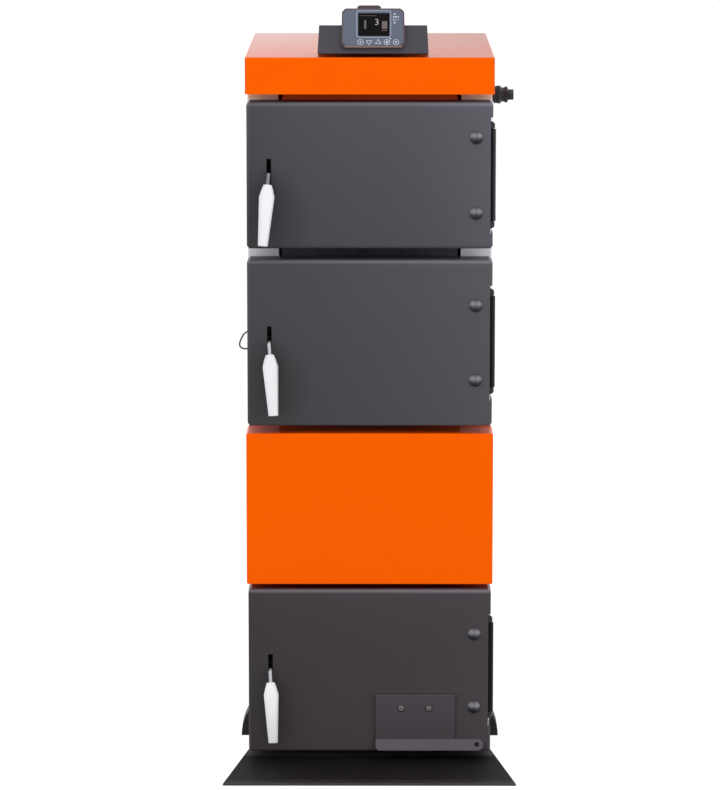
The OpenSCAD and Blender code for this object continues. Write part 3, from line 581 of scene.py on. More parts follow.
@dataclass(frozen=True)
class EdgedCoat(PowderCoat):
    """A black coat in painted shade, darkest in front of the door and lighter towards the front, with painted
    light under the door and painted highlights along the front edge.
    """

    door: float = -0.398
    run: float = 0.172
    # Painted highlights along the front edge: where the two bands start, and their colours
    edge: float = -0.5765
    painted_light: Colour = srgb(46, 44, 47)
    rim: float = -0.5985
    front_highlight: Colour = srgb(68, 66, 69)

    def lay_on(self, g: Graph) -> None:
        """Lay the coat on, paint its shade and the light under the door, then the highlights along the front
        edge.

        Args:
            g: The material's graph.
        """
        super().lay_on(g)
        # Painted shade, darkest in front of the door, and painted light under it
        out = (self.door - g.y) / self.run
        g.tone(out.most(0.0) * 0.76 + 0.44 + (g.y - self.door - 0.008).ease(0.0, 0.03) * 7.0)
        # Painted highlights along the front edge, broken up by noise
        highlight_tone = g.noise(90.0, 4.0, 0.6).ease(0.25, 0.6) * 0.3 + 0.7
        for level, colour in ((self.edge, self.painted_light), (self.rim, self.front_highlight)):
            g.cover((level - g.y).ease(0.0, 0.002) * highlight_tone, colour)


@dataclass(frozen=True)
class HingeCoat(PowderCoat):
    """The hinges' coat: black on the barrels but for a painted highlight strip, and painted shade and
    highlights on the dome nuts.

    Reach is how far the nuts' middles are from the door's, and the stops are a nut's painted tones from its
    shaded foot up to its lit crown.
    """

    front: float = -0.3935
    # The barrels' painted highlight strip: where it lies across, and its colour
    strip: Pair = (0.2498, 0.2556)
    highlight_tone: Colour = srgb(60, 59, 63)
    reach: float = 0.0765
    radius: float = 0.013
    nut_x: float = 0.2145
    stops: tuple[tuple[float, Colour], ...] = (
        (0.0, (0.034, 0.034, 0.037)),
        (0.2, (0.026, 0.026, 0.028)),
        (0.4, (0.058, 0.057, 0.063)),
        (0.52, (0.14, 0.138, 0.15)),
        (0.68, (0.27, 0.267, 0.285)),
        (0.82, (0.215, 0.212, 0.226)),
        (1.0, (0.1, 0.098, 0.108)),
    )

    def lay_on(self, g: Graph) -> None:
        """Lay the coat on, paint a highlight strip on the barrels' outer side, and paint the nuts' shade and
        highlights from dark foot to pale crown.

        Args:
            g: The material's graph.
        """
        super().lay_on(g)
        patchiness = g.noise(70.0, 4.0, 0.65)
        # Painted highlight strip on the barrels, weaker on the lower doors
        strip = (g.x - self.strip[0]).ease(0.0, 0.0012) * (self.strip[1] - g.x).ease(0.0, 0.001)
        less = 1.0 - g.z.below(UPPER_FROM) * 0.45 - g.z.below(LOADING_FROM) * 0.4
        g.cover(strip * (patchiness.ease(0.2, 0.5) * 0.5 + 0.5) * less, self.highlight_tone)
        # Painted shade and highlights on the dome nuts: dark foot, pale crown, darker down the middle between
        # two highlights
        upper, loading, ash = (door.middle * MM for door in Door)
        middle = g.z.above(LOADING_FROM) * (loading - ash) + g.z.above(UPPER_FROM) * (upper - loading) + ash
        offset = g.z - middle
        side = offset.above(0.0) * 2.0 - 1.0
        height = (abs(offset) - self.reach) * side / (self.radius * 2) + 0.5
        dome = g.add("ShaderNodeValToRGB", {"stops": self.stops}, {"Fac": height}, "Color")
        dome = g.toned(dome, 1.0 - g.peak(g.x, self.nut_x, 0.005) * 0.34 + (patchiness - 0.5) * 0.2)
        g.cover((self.front - g.y).ease(0.0, 0.001), dome, 0.33)


@dataclass(frozen=True)
class BareMetal(Finish):
    """Zinc plate or machined steel, with drawn lines and faint stains.

    It may be painted black as shade behind a place along Y, and painted lighter below a height.
    """

    roughness: float = 0.32
    lines: float = 700.0
    metallic: float = 0.9
    stain: Colour = (0.25, 0.22, 0.2)
    stained: float = 0.25
    # Painted shade behind a place along Y, and painted light below a height
    shadow_from: float = NOWHERE
    bright_below: float = -NOWHERE

    def lay_on(self, g: Graph) -> None:
        """Lay on drawn lines, cloudy plating and stains, then painted shade behind a place and painted light
        below a height.

        Args:
            g: The material's graph.
        """
        drawn = g.noise(1.0, 4.0, 0.6, g.stretched(self.lines, self.lines, self.lines * 0.08))
        cloud = g.noise(60.0, 3.0, 0.6)
        spots = g.noise(240.0, 4.0, 0.7).ease(0.58, 0.75) * self.stained
        colour = g.blend(spots, g.between(cloud, self.colour, 0.82, 1.12), self.stain)
        # Painted shade: black behind the door's face, where the rods run into the slots
        in_shadow = (g.y - self.shadow_from).ease(0.0, 0.0015)
        g.set(
            Base_Color=g.blend(in_shadow, colour, SHADE_BLACK),
            Metallic=in_shadow * (1.0 - self.metallic) + self.metallic,
            Roughness=(drawn - 0.5) * 0.18 + cloud * 0.1 + self.roughness,
            Normal=g.bump(drawn, 0.00004, 0.6),
        )
        # Painted light: the rods lighter below a height, on the lower doors
        g.tone(g.z.below(self.bright_below) * 1.5 + 1.0)


@dataclass(frozen=True)
class HotSteel(Finish):
    """Boiler plate that has been fired: mill scale, brown rust, and soot in tall streaks."""

    soot_and_shade: Colour = (0.012, 0.011, 0.011)
    rust: Colour = (0.09, 0.035, 0.016)
    rusted: float = 0.5
    roughness: float = 0.7
    # Painted light: orange light bounced off the cover and the panel, as a glow and a dark red strip
    bounced: bool = False
    bounce: Colour = (0.125, 0.013, 0.003)
    bounce_from: float = 1.3486
    under: float = 0.3435

    def lay_on(self, g: Graph) -> None:
        """Lay rust and soot over the scale, and painted light: a glow and a dark red strip for the orange
        light that the orange pieces throw on it.

        Args:
            g: The material's graph.
        """
        scale = g.noise(26.0, 5.0, 0.62)
        grit = g.noise(420.0, 3.0, 0.7)
        rusty = g.noise(9.0, 4.0, 0.65).ease(0.48, 0.72) * self.rusted
        sooty = g.noise(5.0, 4.0, 0.6, g.stretched(1.0, 1.0, 0.35)).ease(0.3, 0.7)
        colour = g.blend(rusty, g.between(scale, self.colour, 0.7, 1.3), self.rust)
        g.set(
            Base_Color=g.blend(sooty * 0.6, colour, self.soot_and_shade),
            Roughness=grit * 0.2 + self.roughness - scale * 0.1,
            Normal=g.bump(scale * 0.4 + grit * 0.6, 0.0004, 0.8),
            Specular_IOR_Level=0.3,
        )
        # Painted light: an emitted glow and a dark red strip stand in for orange bounce light
        if self.bounced:
            over = g.z - self.bounce_from
            lit = over.ease(0.0, 0.0003) * 0.72 + (over + 0.005).ease(0.0, 0.002) * 0.28
            orange_glow = (0.009 - abs(g.z - self.under)).ease(0.0, 0.004)
            g.cover(orange_glow, (0.02, 0.0008, 0.0004))
            thrown = g.blend(lit + orange_glow * 0.16, (0.0, 0.0, 0.0), self.bounce)
            g.set(Emission_Color=thrown, Emission_Strength=1.0)


@dataclass(frozen=True)
class CastIron(Finish):
    """Sand-cast iron, grey with ash lying on it."""

    ash: Colour = (0.3, 0.28, 0.26)

    def lay_on(self, g: Graph) -> None:
        """Lay on the sand's grain and patches of ash.

        Args:
            g: The material's graph.
        """
        sand = g.noise(520.0, 3.0, 0.65)
        ash = g.noise(18.0, 5.0, 0.7).ease(0.52, 0.7) * 0.55
        g.set(
            Base_Color=g.blend(ash, g.between(sand, self.colour, 0.7, 1.35), self.ash),
            Roughness=sand * 0.15 + 0.72,
            Normal=g.bump(sand * 0.7 + g.cells(180.0) * 0.3, 0.0006),
        )


@dataclass(frozen=True)
class RopeSeal(Finish):
    """Braided glass rope, pale and pressed flat, browned in places by tar."""

    plait: float = 95.0

    def lay_on(self, g: Graph) -> None:
        """Lay on crossing strands along both directions of the frame.

        Args:
            g: The material's graph.
        """
        run, cross = (way * (self.plait * 2 * math.pi) for way in (g.x + g.z, g.x - g.z))
        strands = run.wave() * cross.wave() * 0.5 + 0.5
        fuzz = g.noise(1500.0, 3.0, 0.7)
        tar = g.noise(22.0, 4.0, 0.6).ease(0.5, 0.75) * 0.7
        g.set(
            Base_Color=g.blend(tar, g.between(strands, self.colour, 0.62, 1.0), (0.09, 0.06, 0.04)),
            Roughness=fuzz * 0.1 + 0.88,
            Normal=g.bump(strands * 0.8 + fuzz * 0.2, 0.0012),
            Specular_IOR_Level=0.15,
        )


@dataclass(frozen=True)
class Moulded(Finish):
    """Moulded plastic with a fine spark-eroded grain."""

    roughness: float = 0.45
    grain: float = 1100.0
    depth: float = 0.00003
    specular: float = 0.4

    def lay_on(self, g: Graph) -> None:
        """Lay on the mould's grain and a slow flow of tone.

        Args:
            g: The material's graph.
        """
        grain = g.noise(self.grain, 3.0, 0.65)
        g.set(
            Base_Color=g.between(g.noise(28.0, 2.0), self.colour, 0.94, 1.05),
            Roughness=(grain - 0.5) * 0.14 + self.roughness,
            Normal=g.bump(grain, self.depth),
            Specular_IOR_Level=self.specular,
        )


@dataclass(frozen=True)
class ShellPlastic(Moulded):
    """The controller's case, with a painted highlight along its lower edge."""

    edge: float = 1.4705
    front: float = -0.385
    painted_light: Colour = srgb(146, 122, 125)

    def lay_on(self, g: Graph) -> None:
        """Lay the plastic on, then paint a highlight along its lower edge."""
        super().lay_on(g)
        # Painted highlight along the case's lower front edge
        g.cover((self.edge - g.z).ease(0.0, 0.002) * (self.front - g.y).above(0.0), self.painted_light)


@dataclass(frozen=True)
class DisplayGlass(Finish):
    """Dark glass over a lit panel whose dots just show."""

    glow: Colour = (0.012, 0.012, 0.014)
    dots: float = 2200.0

    def lay_on(self, g: Graph) -> None:
        """Lay on the panel's faint dots, smears and a clear gloss.

        Args:
            g: The material's graph.
        """
        column = (g.x * (self.dots * 2 * math.pi)).wave() * 0.5 + 0.5
        smudge_and_shade = g.noise(35.0, 4.0, 0.7, g.stretched(1.0, 3.0, 3.0))
        g.set(
            Base_Color=g.blend(column * 0.4, self.colour, self.glow),
            Roughness=smudge_and_shade.ease(0.4, 0.8) * 0.18 + 0.06,
            Specular_IOR_Level=0.02,
            Emission_Color=g.between(smudge_and_shade * 0.3, self.glow, 1.0, 1.6),
            Emission_Strength=0.1,
        )


@dataclass(frozen=True)
class Glow(Finish):
    """A lit sign behind the display's glass, or a printed mark on the fascia whose glow is painted light."""

    strength: float = 0.2

    def lay_on(self, g: Graph) -> None:
        """Lay on a print with soft patches and a glow: light from behind for the display's signs, painted
        light for the fascia's prints.

        Args:
            g: The material's graph.
        """
        patch = g.noise(900.0, 2.0)
        colour = g.between(patch, self.colour, 0.86, 1.05)
        g.set(Base_Color=colour, Roughness=patch * 0.1 + 0.3)
        g.set(Emission_Color=colour, Emission_Strength=self.strength)


class Palette(Enum):
    """Every finish of the boiler."""

    # The three doors wear one paint; their colours grow darker downwards, partly painted shade from the light
    # falling off and partly dirt on the ash door
    UPPER = DoorCoat(
        "upper_door_coat", srgb(73, 71, 78), low=1.06, high=1.356, rim=0.95, bend=0.6, bottom_shade=0.4,
        drift=(0.86, 0.175, 0.08, 0.2, 0.143, 0.0),
    )
    LOADING = DoorCoat(
        "loading_door_coat", srgb(69, 68, 73), low=0.697, high=1.037, rim=1.3,
        drift=(0.83, 0.24, 0.1, 0.0, 0.1, 0.0),
    )
    ASH = DoorCoat(
        "ash_door_coat", srgb(61, 56, 60), gloss=0.48, specular=0.2, mottle=0.08, low=0.017, high=0.358,
        drift=(0.96, 0.1, 0.0, 0.06, -0.19, 0.28), rim=2.6, bend=0.0, grip_shadow=0.12, mirrored=1.0,
    )
    FLAP = FlapCoat("air_flap_coat", srgb(73, 67, 72), gloss=0.48, specular=0.2, grain=1100.0, depth=0.00012)
    HINGE = HingeCoat("hinge_charcoal", srgb(8, 8, 9), gloss=0.5, specular=0.1)
    KNUCKLE = PowderCoat(
        "knuckle_coat", srgb(44, 43, 46), gloss=0.45, specular=0.25, depth=0.0001, dust=0.05
    )
    ORANGE = CoverCoat(
        "cover_orange", srgb(254, 95, 2), gloss=0.3, specular=0.5, grain=500.0, mottle=0.016,
        tint=(1.0, 0.3, 0.02),
    )
    CASING = FlangeCoat("casing_pale", srgb(206, 205, 210), gloss=0.4, mottle=0.05)
    BLACK = PowderCoat("black_coat", srgb(26, 25, 28), gloss=0.5, specular=0.2, depth=0.00009, dust=0.05)
    APRON = EdgedCoat("apron_coat", srgb(27, 24, 27), gloss=0.6, specular=0.06, depth=0.00009, dust=0.02)
    BRACKET = PowderCoat("bracket_coat", srgb(65, 63, 69), gloss=0.48, specular=0.2)
    JACKET = HotSteel("fired_plate", srgb(70, 52, 48), bounced=True)
    OUTSIDE = HotSteel("body_plate", srgb(84, 82, 98), rusted=0.12, bounced=True)
    COLLAR = HotSteel("collar_steel", srgb(86, 80, 78), rusted=0.25, roughness=0.5)
    PLATE = HotSteel("door_plate_steel", srgb(74, 70, 68), rusted=0.35)
    FLUE = HotSteel("flue_paint", srgb(42, 41, 42), rusted=0.2, roughness=0.6)
    IRON = CastIron("grate_iron", srgb(64, 60, 58))
    ROPE = RopeSeal("rope", srgb(214, 206, 190))
    ZINC = BareMetal(
        "zinc_rod", srgb(128, 128, 132), roughness=0.42, metallic=0.25, stained=0.15, shadow_from=-0.3928,
        bright_below=UPPER_FROM,
    )
    THREAD = BareMetal(
        "thread_steel", srgb(120, 116, 112), roughness=0.45, stained=0.6, stain=(0.1, 0.05, 0.025)
    )
    SCREW = BareMetal("screw_zinc", srgb(175, 174, 172), roughness=0.35)
    DARK_SCREW = BareMetal("screw_grey", srgb(132, 129, 132), roughness=0.4, metallic=0.4)
    GRIP = Moulded("grip_white", srgb(240, 240, 242), roughness=0.38, depth=0.00002)
    # The same white plastic as GRIP, painted lighter as light on the lowest grip
    GRIP_LOW = Moulded("grip_white_low", srgb(250, 250, 251), roughness=0.38, depth=0.00002)
    SHELL = ShellPlastic("controller_shell", srgb(88, 63, 65), roughness=0.42)
    SOCKET = Moulded("controller_socket", srgb(60, 38, 42), roughness=0.5)
    FASCIA = Moulded("fascia_film", srgb(95, 101, 116), roughness=0.4, grain=700.0, specular=0.12)
    NYLON = Moulded("black_nylon", srgb(30, 30, 31))
    SHEATH = Moulded("lead_sheath", srgb(50, 62, 60), roughness=0.4, grain=600.0)
    DISPLAY = DisplayGlass("display_glass", srgb(13, 9, 12))
    # The fascia's printed frame and key marks glow a little, which is painted light
    FRAME_PRINT = Glow("frame_print", srgb(134, 143, 162), strength=0.05)
    KEY_PRINT = Glow("key_print", srgb(196, 202, 214), strength=0.1)
    DIGIT = Glow("display_digit", srgb(160, 152, 142), strength=0.3)
    GAUGE = Glow("display_gauge", srgb(64, 64, 60))
    TOP_LINE = Glow("display_line", srgb(72, 48, 40))
    SYMBOL = Glow("display_symbol", srgb(90, 72, 72))

    def material(self) -> bpy.types.Material:
        """Return this finish's material, made on first use."""
        return bpy.data.materials.get(f"finish_{self.value.name}") or self.value.build()


# ---------------------------------------------------------------- the bench


class Bench:
    """The moves that every piece is modelled with. Lengths are in millimetres."""

    @staticmethod
    def put_down() -> None:
        """Leave edit mode and let go of everything."""
        active = bpy.context.view_layer.objects.active
        if active is not None and active.mode != "OBJECT":
            bpy.ops.object.mode_set(mode="OBJECT")
        bpy.ops.object.select_all(action="DESELECT")

    @classmethod
    def take(cls, piece: Piece, edit: bool = False) -> None:
        """Make the piece the only one in hand.

        Args:
            piece: The piece to work on.
            edit: Whether to open its mesh.
        """
        cls.put_down()
        piece.select_set(True)
        bpy.context.view_layer.objects.active = piece
        if edit:
            bpy.ops.object.mode_set(mode="EDIT")

    @staticmethod
    def name(name: str) -> Piece:
        """Name the piece in hand.

        Args:
            name: Its name.

        Returns:
            The piece.
        """
        piece = bpy.context.view_layer.objects.active
        piece.name = piece.data.name = name
        return piece

    @classmethod
    def open(cls, name: str) -> Piece:
        """Name the primitive that was just added and settle its place into its mesh.

        Args:
            name: The piece's name.

        Returns:
            The piece, open for editing with all of it selected.
        """
        bpy.ops.object.transform_apply(location=True, rotation=True, scale=True)
        piece = cls.name(name)
        bpy.ops.object.mode_set(mode="EDIT")
        bpy.ops.mesh.select_all(action="SELECT")
        return piece

    @classmethod
    def block(cls, name: str, low: Point, high: Point) -> Piece:
        """Start a piece from a block.

        Args:
            name: The piece's name.
            low: Its lowest corner.
            high: Its highest corner.

        Returns:
            The block, open for editing with all of it selected.
        """
        cls.put_down()
        bpy.ops.mesh.primitive_cube_add(size=1)
        piece = cls.open(name)
        bpy.ops.transform.resize(value=[(b - a) * MM for a, b in zip(low, high)])
        bpy.ops.transform.translate(value=[(a + b) / 2 * MM for a, b in zip(low, high)])
        return piece

    @classmethod
    def drum(cls, name: str, sides: int, radius: float, low: float, high: float) -> Piece:
        """Start a piece from an upright drum on the local Z axis.

        Args:
            name: The piece's name.
            sides: How many sides it has.
            radius: The distance of its corners from the axis.
            low: Where it starts.
            high: Where it ends.

        Returns:
            The drum, open for editing with all of it selected.
        """
        cls.put_down()
        middle = (0, 0, (low + high) / 2 * MM)
        bpy.ops.mesh.primitive_cylinder_add(
            vertices=sides, radius=radius * MM, depth=(high - low) * MM, location=middle
        )
        return cls.open(name)

    @classmethod
    def disc(cls, name: str, sides: int, radius: float, place: Point, turn: float = 0.0) -> Piece:
        """Start a piece from a flat disc.

        Args:
            name: The piece's name.
            sides: How many sides it has.
            radius: The distance of its corners from its middle.
            place: Its middle.
            turn: Its turn about the Z axis, in degrees.

        Returns:
            The disc, open for editing with all of it selected.
        """
        cls.put_down()
        bpy.ops.mesh.primitive_circle_add(
            vertices=sides,
            radius=radius * MM,
            fill_type="NGON",
            location=[v * MM for v in place],
            rotation=(0, 0, math.radians(turn)),
        )
        return cls.open(name)

    @classmethod
    def turned(cls, name: str, profile: Sequence[Pair], sides: int) -> Piece:
        """Turn a piece on the local Z axis by drawing one ring out step by step.

        Args:
            name: The piece's name.
            profile: Height and radius of each ring, from one end to the other.
            sides: How many sides a ring has.

        Returns:
            The closed piece, open for editing.
        """
        height, radius = profile[0]
        piece = cls.disc(name, sides, radius, (0, 0, height))
        for next_height, next_radius in profile[1:]:
            cls.push(next_height - height)
            grow = next_radius / radius
            bpy.ops.transform.resize(value=(grow, grow, 1))
            height, radius = next_height, next_radius
        cls.seal()
        return piece

    @staticmethod
    def push(up: float) -> None:
        """Draw what is selected out along the Z axis."""
        bpy.ops.mesh.extrude_region_move(TRANSFORM_OT_translate={"value": (0, 0, up * MM)})

    @staticmethod
    def seal() -> None:
        """Select the whole open mesh and turn its faces outwards."""
        bpy.ops.mesh.select_all(action="SELECT")
        bpy.ops.mesh.normals_make_consistent(inside=False)

    @staticmethod
    def inset(width: float) -> None:
        """Draw a border inside the selected faces."""
        bpy.ops.mesh.inset(thickness=width * MM)

    @staticmethod
    def bevel(width: float, steps: int, affect: str = "EDGES", profile: float = 0.5) -> None:
        """Take the selected edges or vertices off."""
        bpy.ops.mesh.bevel(offset=width * MM, segments=steps, affect=affect, profile=profile)

    @staticmethod
    def cut(level: float) -> None:
        """Cut the whole open mesh along a level plane."""
        bpy.ops.mesh.select_all(action="SELECT")
        bpy.ops.mesh.bisect(plane_co=(0, 0, level * MM), plane_no=(0, 0, 1))

    @staticmethod
    def _pick(piece: Piece, kind: str, parts: str, wanted: Callable[[Any], bool]) -> None:
        """Select some parts of a piece that is open for editing, and nothing else.

        Args:
            piece: The piece.
            kind: The select mode.
            parts: What the mesh calls these parts.
            wanted: Says whether a part is wanted.
        """
        bpy.ops.mesh.select_mode(type=kind)
        bpy.ops.mesh.select_all(action="DESELECT")
        mesh = bmesh.from_edit_mesh(piece.data)
        for part in getattr(mesh, parts):
            if wanted(part):
                part.select_set(True)
        mesh.select_flush_mode()
        bmesh.update_edit_mesh(piece.data)

    @classmethod
    def pick_faces(cls, piece: Piece, wanted: Callable[[Vector, Vector], bool]) -> None:
        """Select faces by their middle and their normal."""
        cls._pick(piece, "FACE", "faces", lambda f: wanted(f.calc_center_median() / MM, f.normal))

    @classmethod
    def pick_points(cls, piece: Piece, wanted: Callable[[Vector], bool]) -> None:
        """Select vertices by their place."""
        cls._pick(piece, "VERT", "verts", lambda v: wanted(v.co / MM))

    @classmethod
    def pick_upright(cls, piece: Piece, wanted: Callable[[Vector], bool] = lambda middle: True) -> None:
        """Select steep edges by their middle.

        Args:
            piece: The piece.
            wanted: Says whether a steep edge with this middle is wanted.
        """

        def steep(edge: bmesh.types.BMEdge) -> bool:
            """Return whether the edge is steep and wanted."""
            low, high = (v.co / MM for v in edge.verts)
            return abs((high - low).normalized().z) > STEEP and wanted((low + high) / 2)

        cls._pick(piece, "EDGE", "edges", steep)

    @classmethod
    def modify(cls, piece: Piece, kind: str, **settings: Any) -> None:
        """Add a modifier to the piece and apply it.

        Args:
            piece: The piece.
            kind: The modifier's type.
            **settings: Its properties.
        """
        cls.take(piece)
        modifier = piece.modifiers.new(kind.lower(), kind)
        for name, value in settings.items():
            setattr(modifier, name, value)
        bpy.ops.object.modifier_apply(modifier=modifier.name)

    @classmethod
    def soften(cls, piece: Piece, width: float, segments: int, angle: float) -> None:
        """Round the piece's edges.

        Args:
            piece: The piece.
            width: How wide the rounding is.
            segments: How many steps it has.
            angle: Edges sharper than this are rounded, in degrees.
        """
        cls.modify(
            piece,
            "BEVEL",
            width=width * MM,
            segments=segments,
            limit_method="ANGLE",
            angle_limit=math.radians(angle),
            use_clamp_overlap=True,
            miter_outer="MITER_ARC",
        )

    @classmethod
    def join(cls, pieces: Sequence[Piece], name: str) -> Piece:
        """Join pieces into the first of them.

        Args:
            pieces: The pieces, each with its own mesh.
            name: The joined piece's name.

        Returns:
            The joined piece.
        """
        cls.put_down()
        for piece in pieces:
            piece.select_set(True)
        bpy.context.view_layer.objects.active = pieces[0]
        bpy.ops.object.join()
        return cls.name(name)

    @staticmethod
    def copied(piece: Piece, name: str, place: Matrix) -> Piece:
        """Copy a piece that is modelled at the origin to its place.

        Args:
            piece: The piece to copy.
            name: The copy's name.
            place: Where the copy goes.

        Returns:
            The copy, with its own mesh.
        """
        copy = linked(piece.copy())
        copy.data = piece.data.copy()
        copy.name = copy.data.name = name
        copy.data.transform(place)
        return copy

    @classmethod
    def drop(cls, piece: Piece) -> None:
        """Remove a pattern piece that was only there to be copied."""
        cls.put_down()
        bpy.data.objects.remove(piece, do_unlink=True)

    @classmethod
    def done(
        cls,
        piece: Piece,
        finish: Palette,
        slot: str,
        body: str = "root",
        stands_for: Sequence[str] = (),
        smooth: float = 35.0,
    ) -> None:
        """Dress a finished piece and fix it to its body.

        Args:
            piece: The piece.
            finish: Its finish.
            slot: The record's material slot that the finish belongs to; not used.
            body: The body it moves with.
            stands_for: The plain solids that it replaces.
            smooth: Faces that meet below this angle, in degrees, are shaded as one.
        """
        cls.take(piece)
        bpy.ops.object.transform_apply(location=True, rotation=True, scale=True)
        if piece.type == "MESH":
            bpy.ops.object.shade_smooth_by_angle(angle=math.radians(smooth))
        piece.data.materials.clear()
        piece.data.materials.append(finish.material())
        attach(piece, body)
        if stands_for:
            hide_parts(*stands_for)
        LOG.info("piece %s on %s", piece.name, body)
        cls.put_down()


# ---------------------------------------------------------------- the studio


@dataclass
class Studio:
    """A pale room with soft lamps, and the camera.

    A lamp is its name, its place, what it aims at, its size and its power. Where the floor shows, a share
    of it glows, so that it is white but keeps the shadow.
    """

    camera_place: Point = (0.01178, -8.5122, 2.0732)
    pitch: float = 9.183
    yaw: float = 0.222
    lens: float = 184.48
    sensor: float = 36.0
    day: float = 0.5
    day_tone: Colour = (0.97, 0.985, 1.0)
    floor_size: float = 60.0
    floor_tone: Colour = (0.86, 0.86, 0.87)
    floor_glow: float = 1.25
    floor_share: float = 0.72
    lamps: tuple[tuple[str, Point, Point, float, float], ...] = (
        ("lamp_left", (-3.4, -4.8, 2.9), (0.0, -0.2, 0.7), 5.0, 82.0),
        ("lamp_right", (3.6, -4.4, 2.9), (0.0, -0.2, 0.7), 5.0, 97.0),
        ("lamp_top", (0.0, -0.9, 4.6), (0.0, -0.3, 0.9), 3.2, 42.0),
        ("lamp_back_left", (-3.6, 3.4, 2.5), (0.0, 0.2, 0.8), 3.4, 42.0),
        ("lamp_back_right", (3.6, 3.4, 2.5), (0.0, 0.2, 0.8), 3.4, 42.0),
    )

    def place_camera(self) -> None:
        """Set the camera up."""
        data = bpy.data.cameras.new("camera")
        data.lens = self.lens
        data.sensor_width = self.sensor
        data.clip_end = 200.0
        camera = linked(bpy.data.objects.new("camera", data))
        camera.location = self.camera_place
        camera.rotation_euler = (math.radians(90.0 - self.pitch), 0.0, math.radians(self.yaw))
        bpy.context.scene.camera = camera

    def hang_lamps(self) -> None:
        """Hang the soft lamps."""
        for name, place, aim, size, power in self.lamps:
            data = bpy.data.lights.new(name, "AREA")
            data.size = size
            data.energy = power
            lamp = linked(bpy.data.objects.new(name, data))
            lamp.location = place
            lamp.rotation_euler = (Vector(aim) - Vector(place)).to_track_quat("-Z", "Y").to_euler()

    def paint_sky(self) -> None:
        """Make the room white where it shows, and softer where it lights."""
        world = bpy.data.worlds.new("room")
        bpy.context.scene.world = world
        world.use_nodes = True
        nodes = Nodes(world.node_tree)
        light = nodes.add("ShaderNodeBackground", {}, {"Color": self.day_tone, "Strength": self.day})
        white = nodes.add("ShaderNodeBackground", {}, {"Color": (1.0, 1.0, 1.0), "Strength": 1.0})
        mix = nodes.add("ShaderNodeMixShader", {}, {0: nodes.shown(), 1: light, 2: white})
        nodes.add("ShaderNodeOutputWorld", {}, {"Surface": mix}, None)

    def lay_floor(self) -> None:
        """Lay a white floor that keeps the boiler's soft shadow."""
        Bench.put_down()
        bpy.ops.mesh.primitive_plane_add(size=self.floor_size, location=(0, 0, -0.0002))
        floor = bpy.context.view_layer.objects.active
        floor.name = "floor"
        material = bpy.data.materials.new("floor_white")
        material.use_nodes = True
        nodes = Nodes(material.node_tree)
        matt = nodes.add("ShaderNodeBsdfDiffuse", {}, {"Color": self.floor_tone})
        lit = nodes.add("ShaderNodeEmission", {}, {"Strength": self.floor_glow})
        mix = nodes.add("ShaderNodeMixShader", {}, {0: nodes.shown() * self.floor_share, 1: matt, 2: lit})
        nodes.add("ShaderNodeOutputMaterial", {}, {"Surface": mix}, None)
        floor.data.materials.append(material)
        Bench.put_down()

    def build(self) -> None:
        """Set up the whole studio."""
        bpy.context.scene.view_settings.view_transform = "Standard"
        self.place_camera()
        self.hang_lamps()
        self.paint_sky()
        self.lay_floor()
        LOG.info("studio ready")


# ---------------------------------------------------------------- pieces


@dataclass
class SensorLead:
    """The thin lead that leaves one grommet and goes back in at the other."""

    diameter: float = 3.5
    across: float = -93.0
    route: tuple[Pair, ...] = (
        (-250.5, 848), (-254, 848), (-258, 847), (-262, 844.5), (-265.5, 841), (-268, 837),
        (-270, 833), (-272, 828.5), (-273.5, 824), (-274, 819.5), (-273, 815.5), (-270, 812.5),
        (-266, 811), (-262, 810.5), (-258, 810.7), (-254, 811), (-250.5, 811),
    )

    def build(self) -> None:
        """Lay the lead along its route."""
        curve = bpy.data.curves.new("sensor_lead_sheath", "CURVE")
        curve.dimensions = "3D"
        curve.bevel_depth = self.diameter / 2 * MM
        curve.bevel_resolution = 4
        curve.use_fill_caps = True
        spline = curve.splines.new("POLY")
        points = [Vector((x * MM, self.across * MM, z * MM)) for x, z in self.route]
        spline.points.add(len(points) - 1)
        for point, place in zip(spline.points, points):
            point.co = (*place, 1.0)
            point.radius = 1.0
        lead = linked(bpy.data.objects.new("sensor_lead_sheath", curve))
        Bench.done(lead, Palette.SHEATH, "lead_sheath", stands_for=["sensor_lead"])


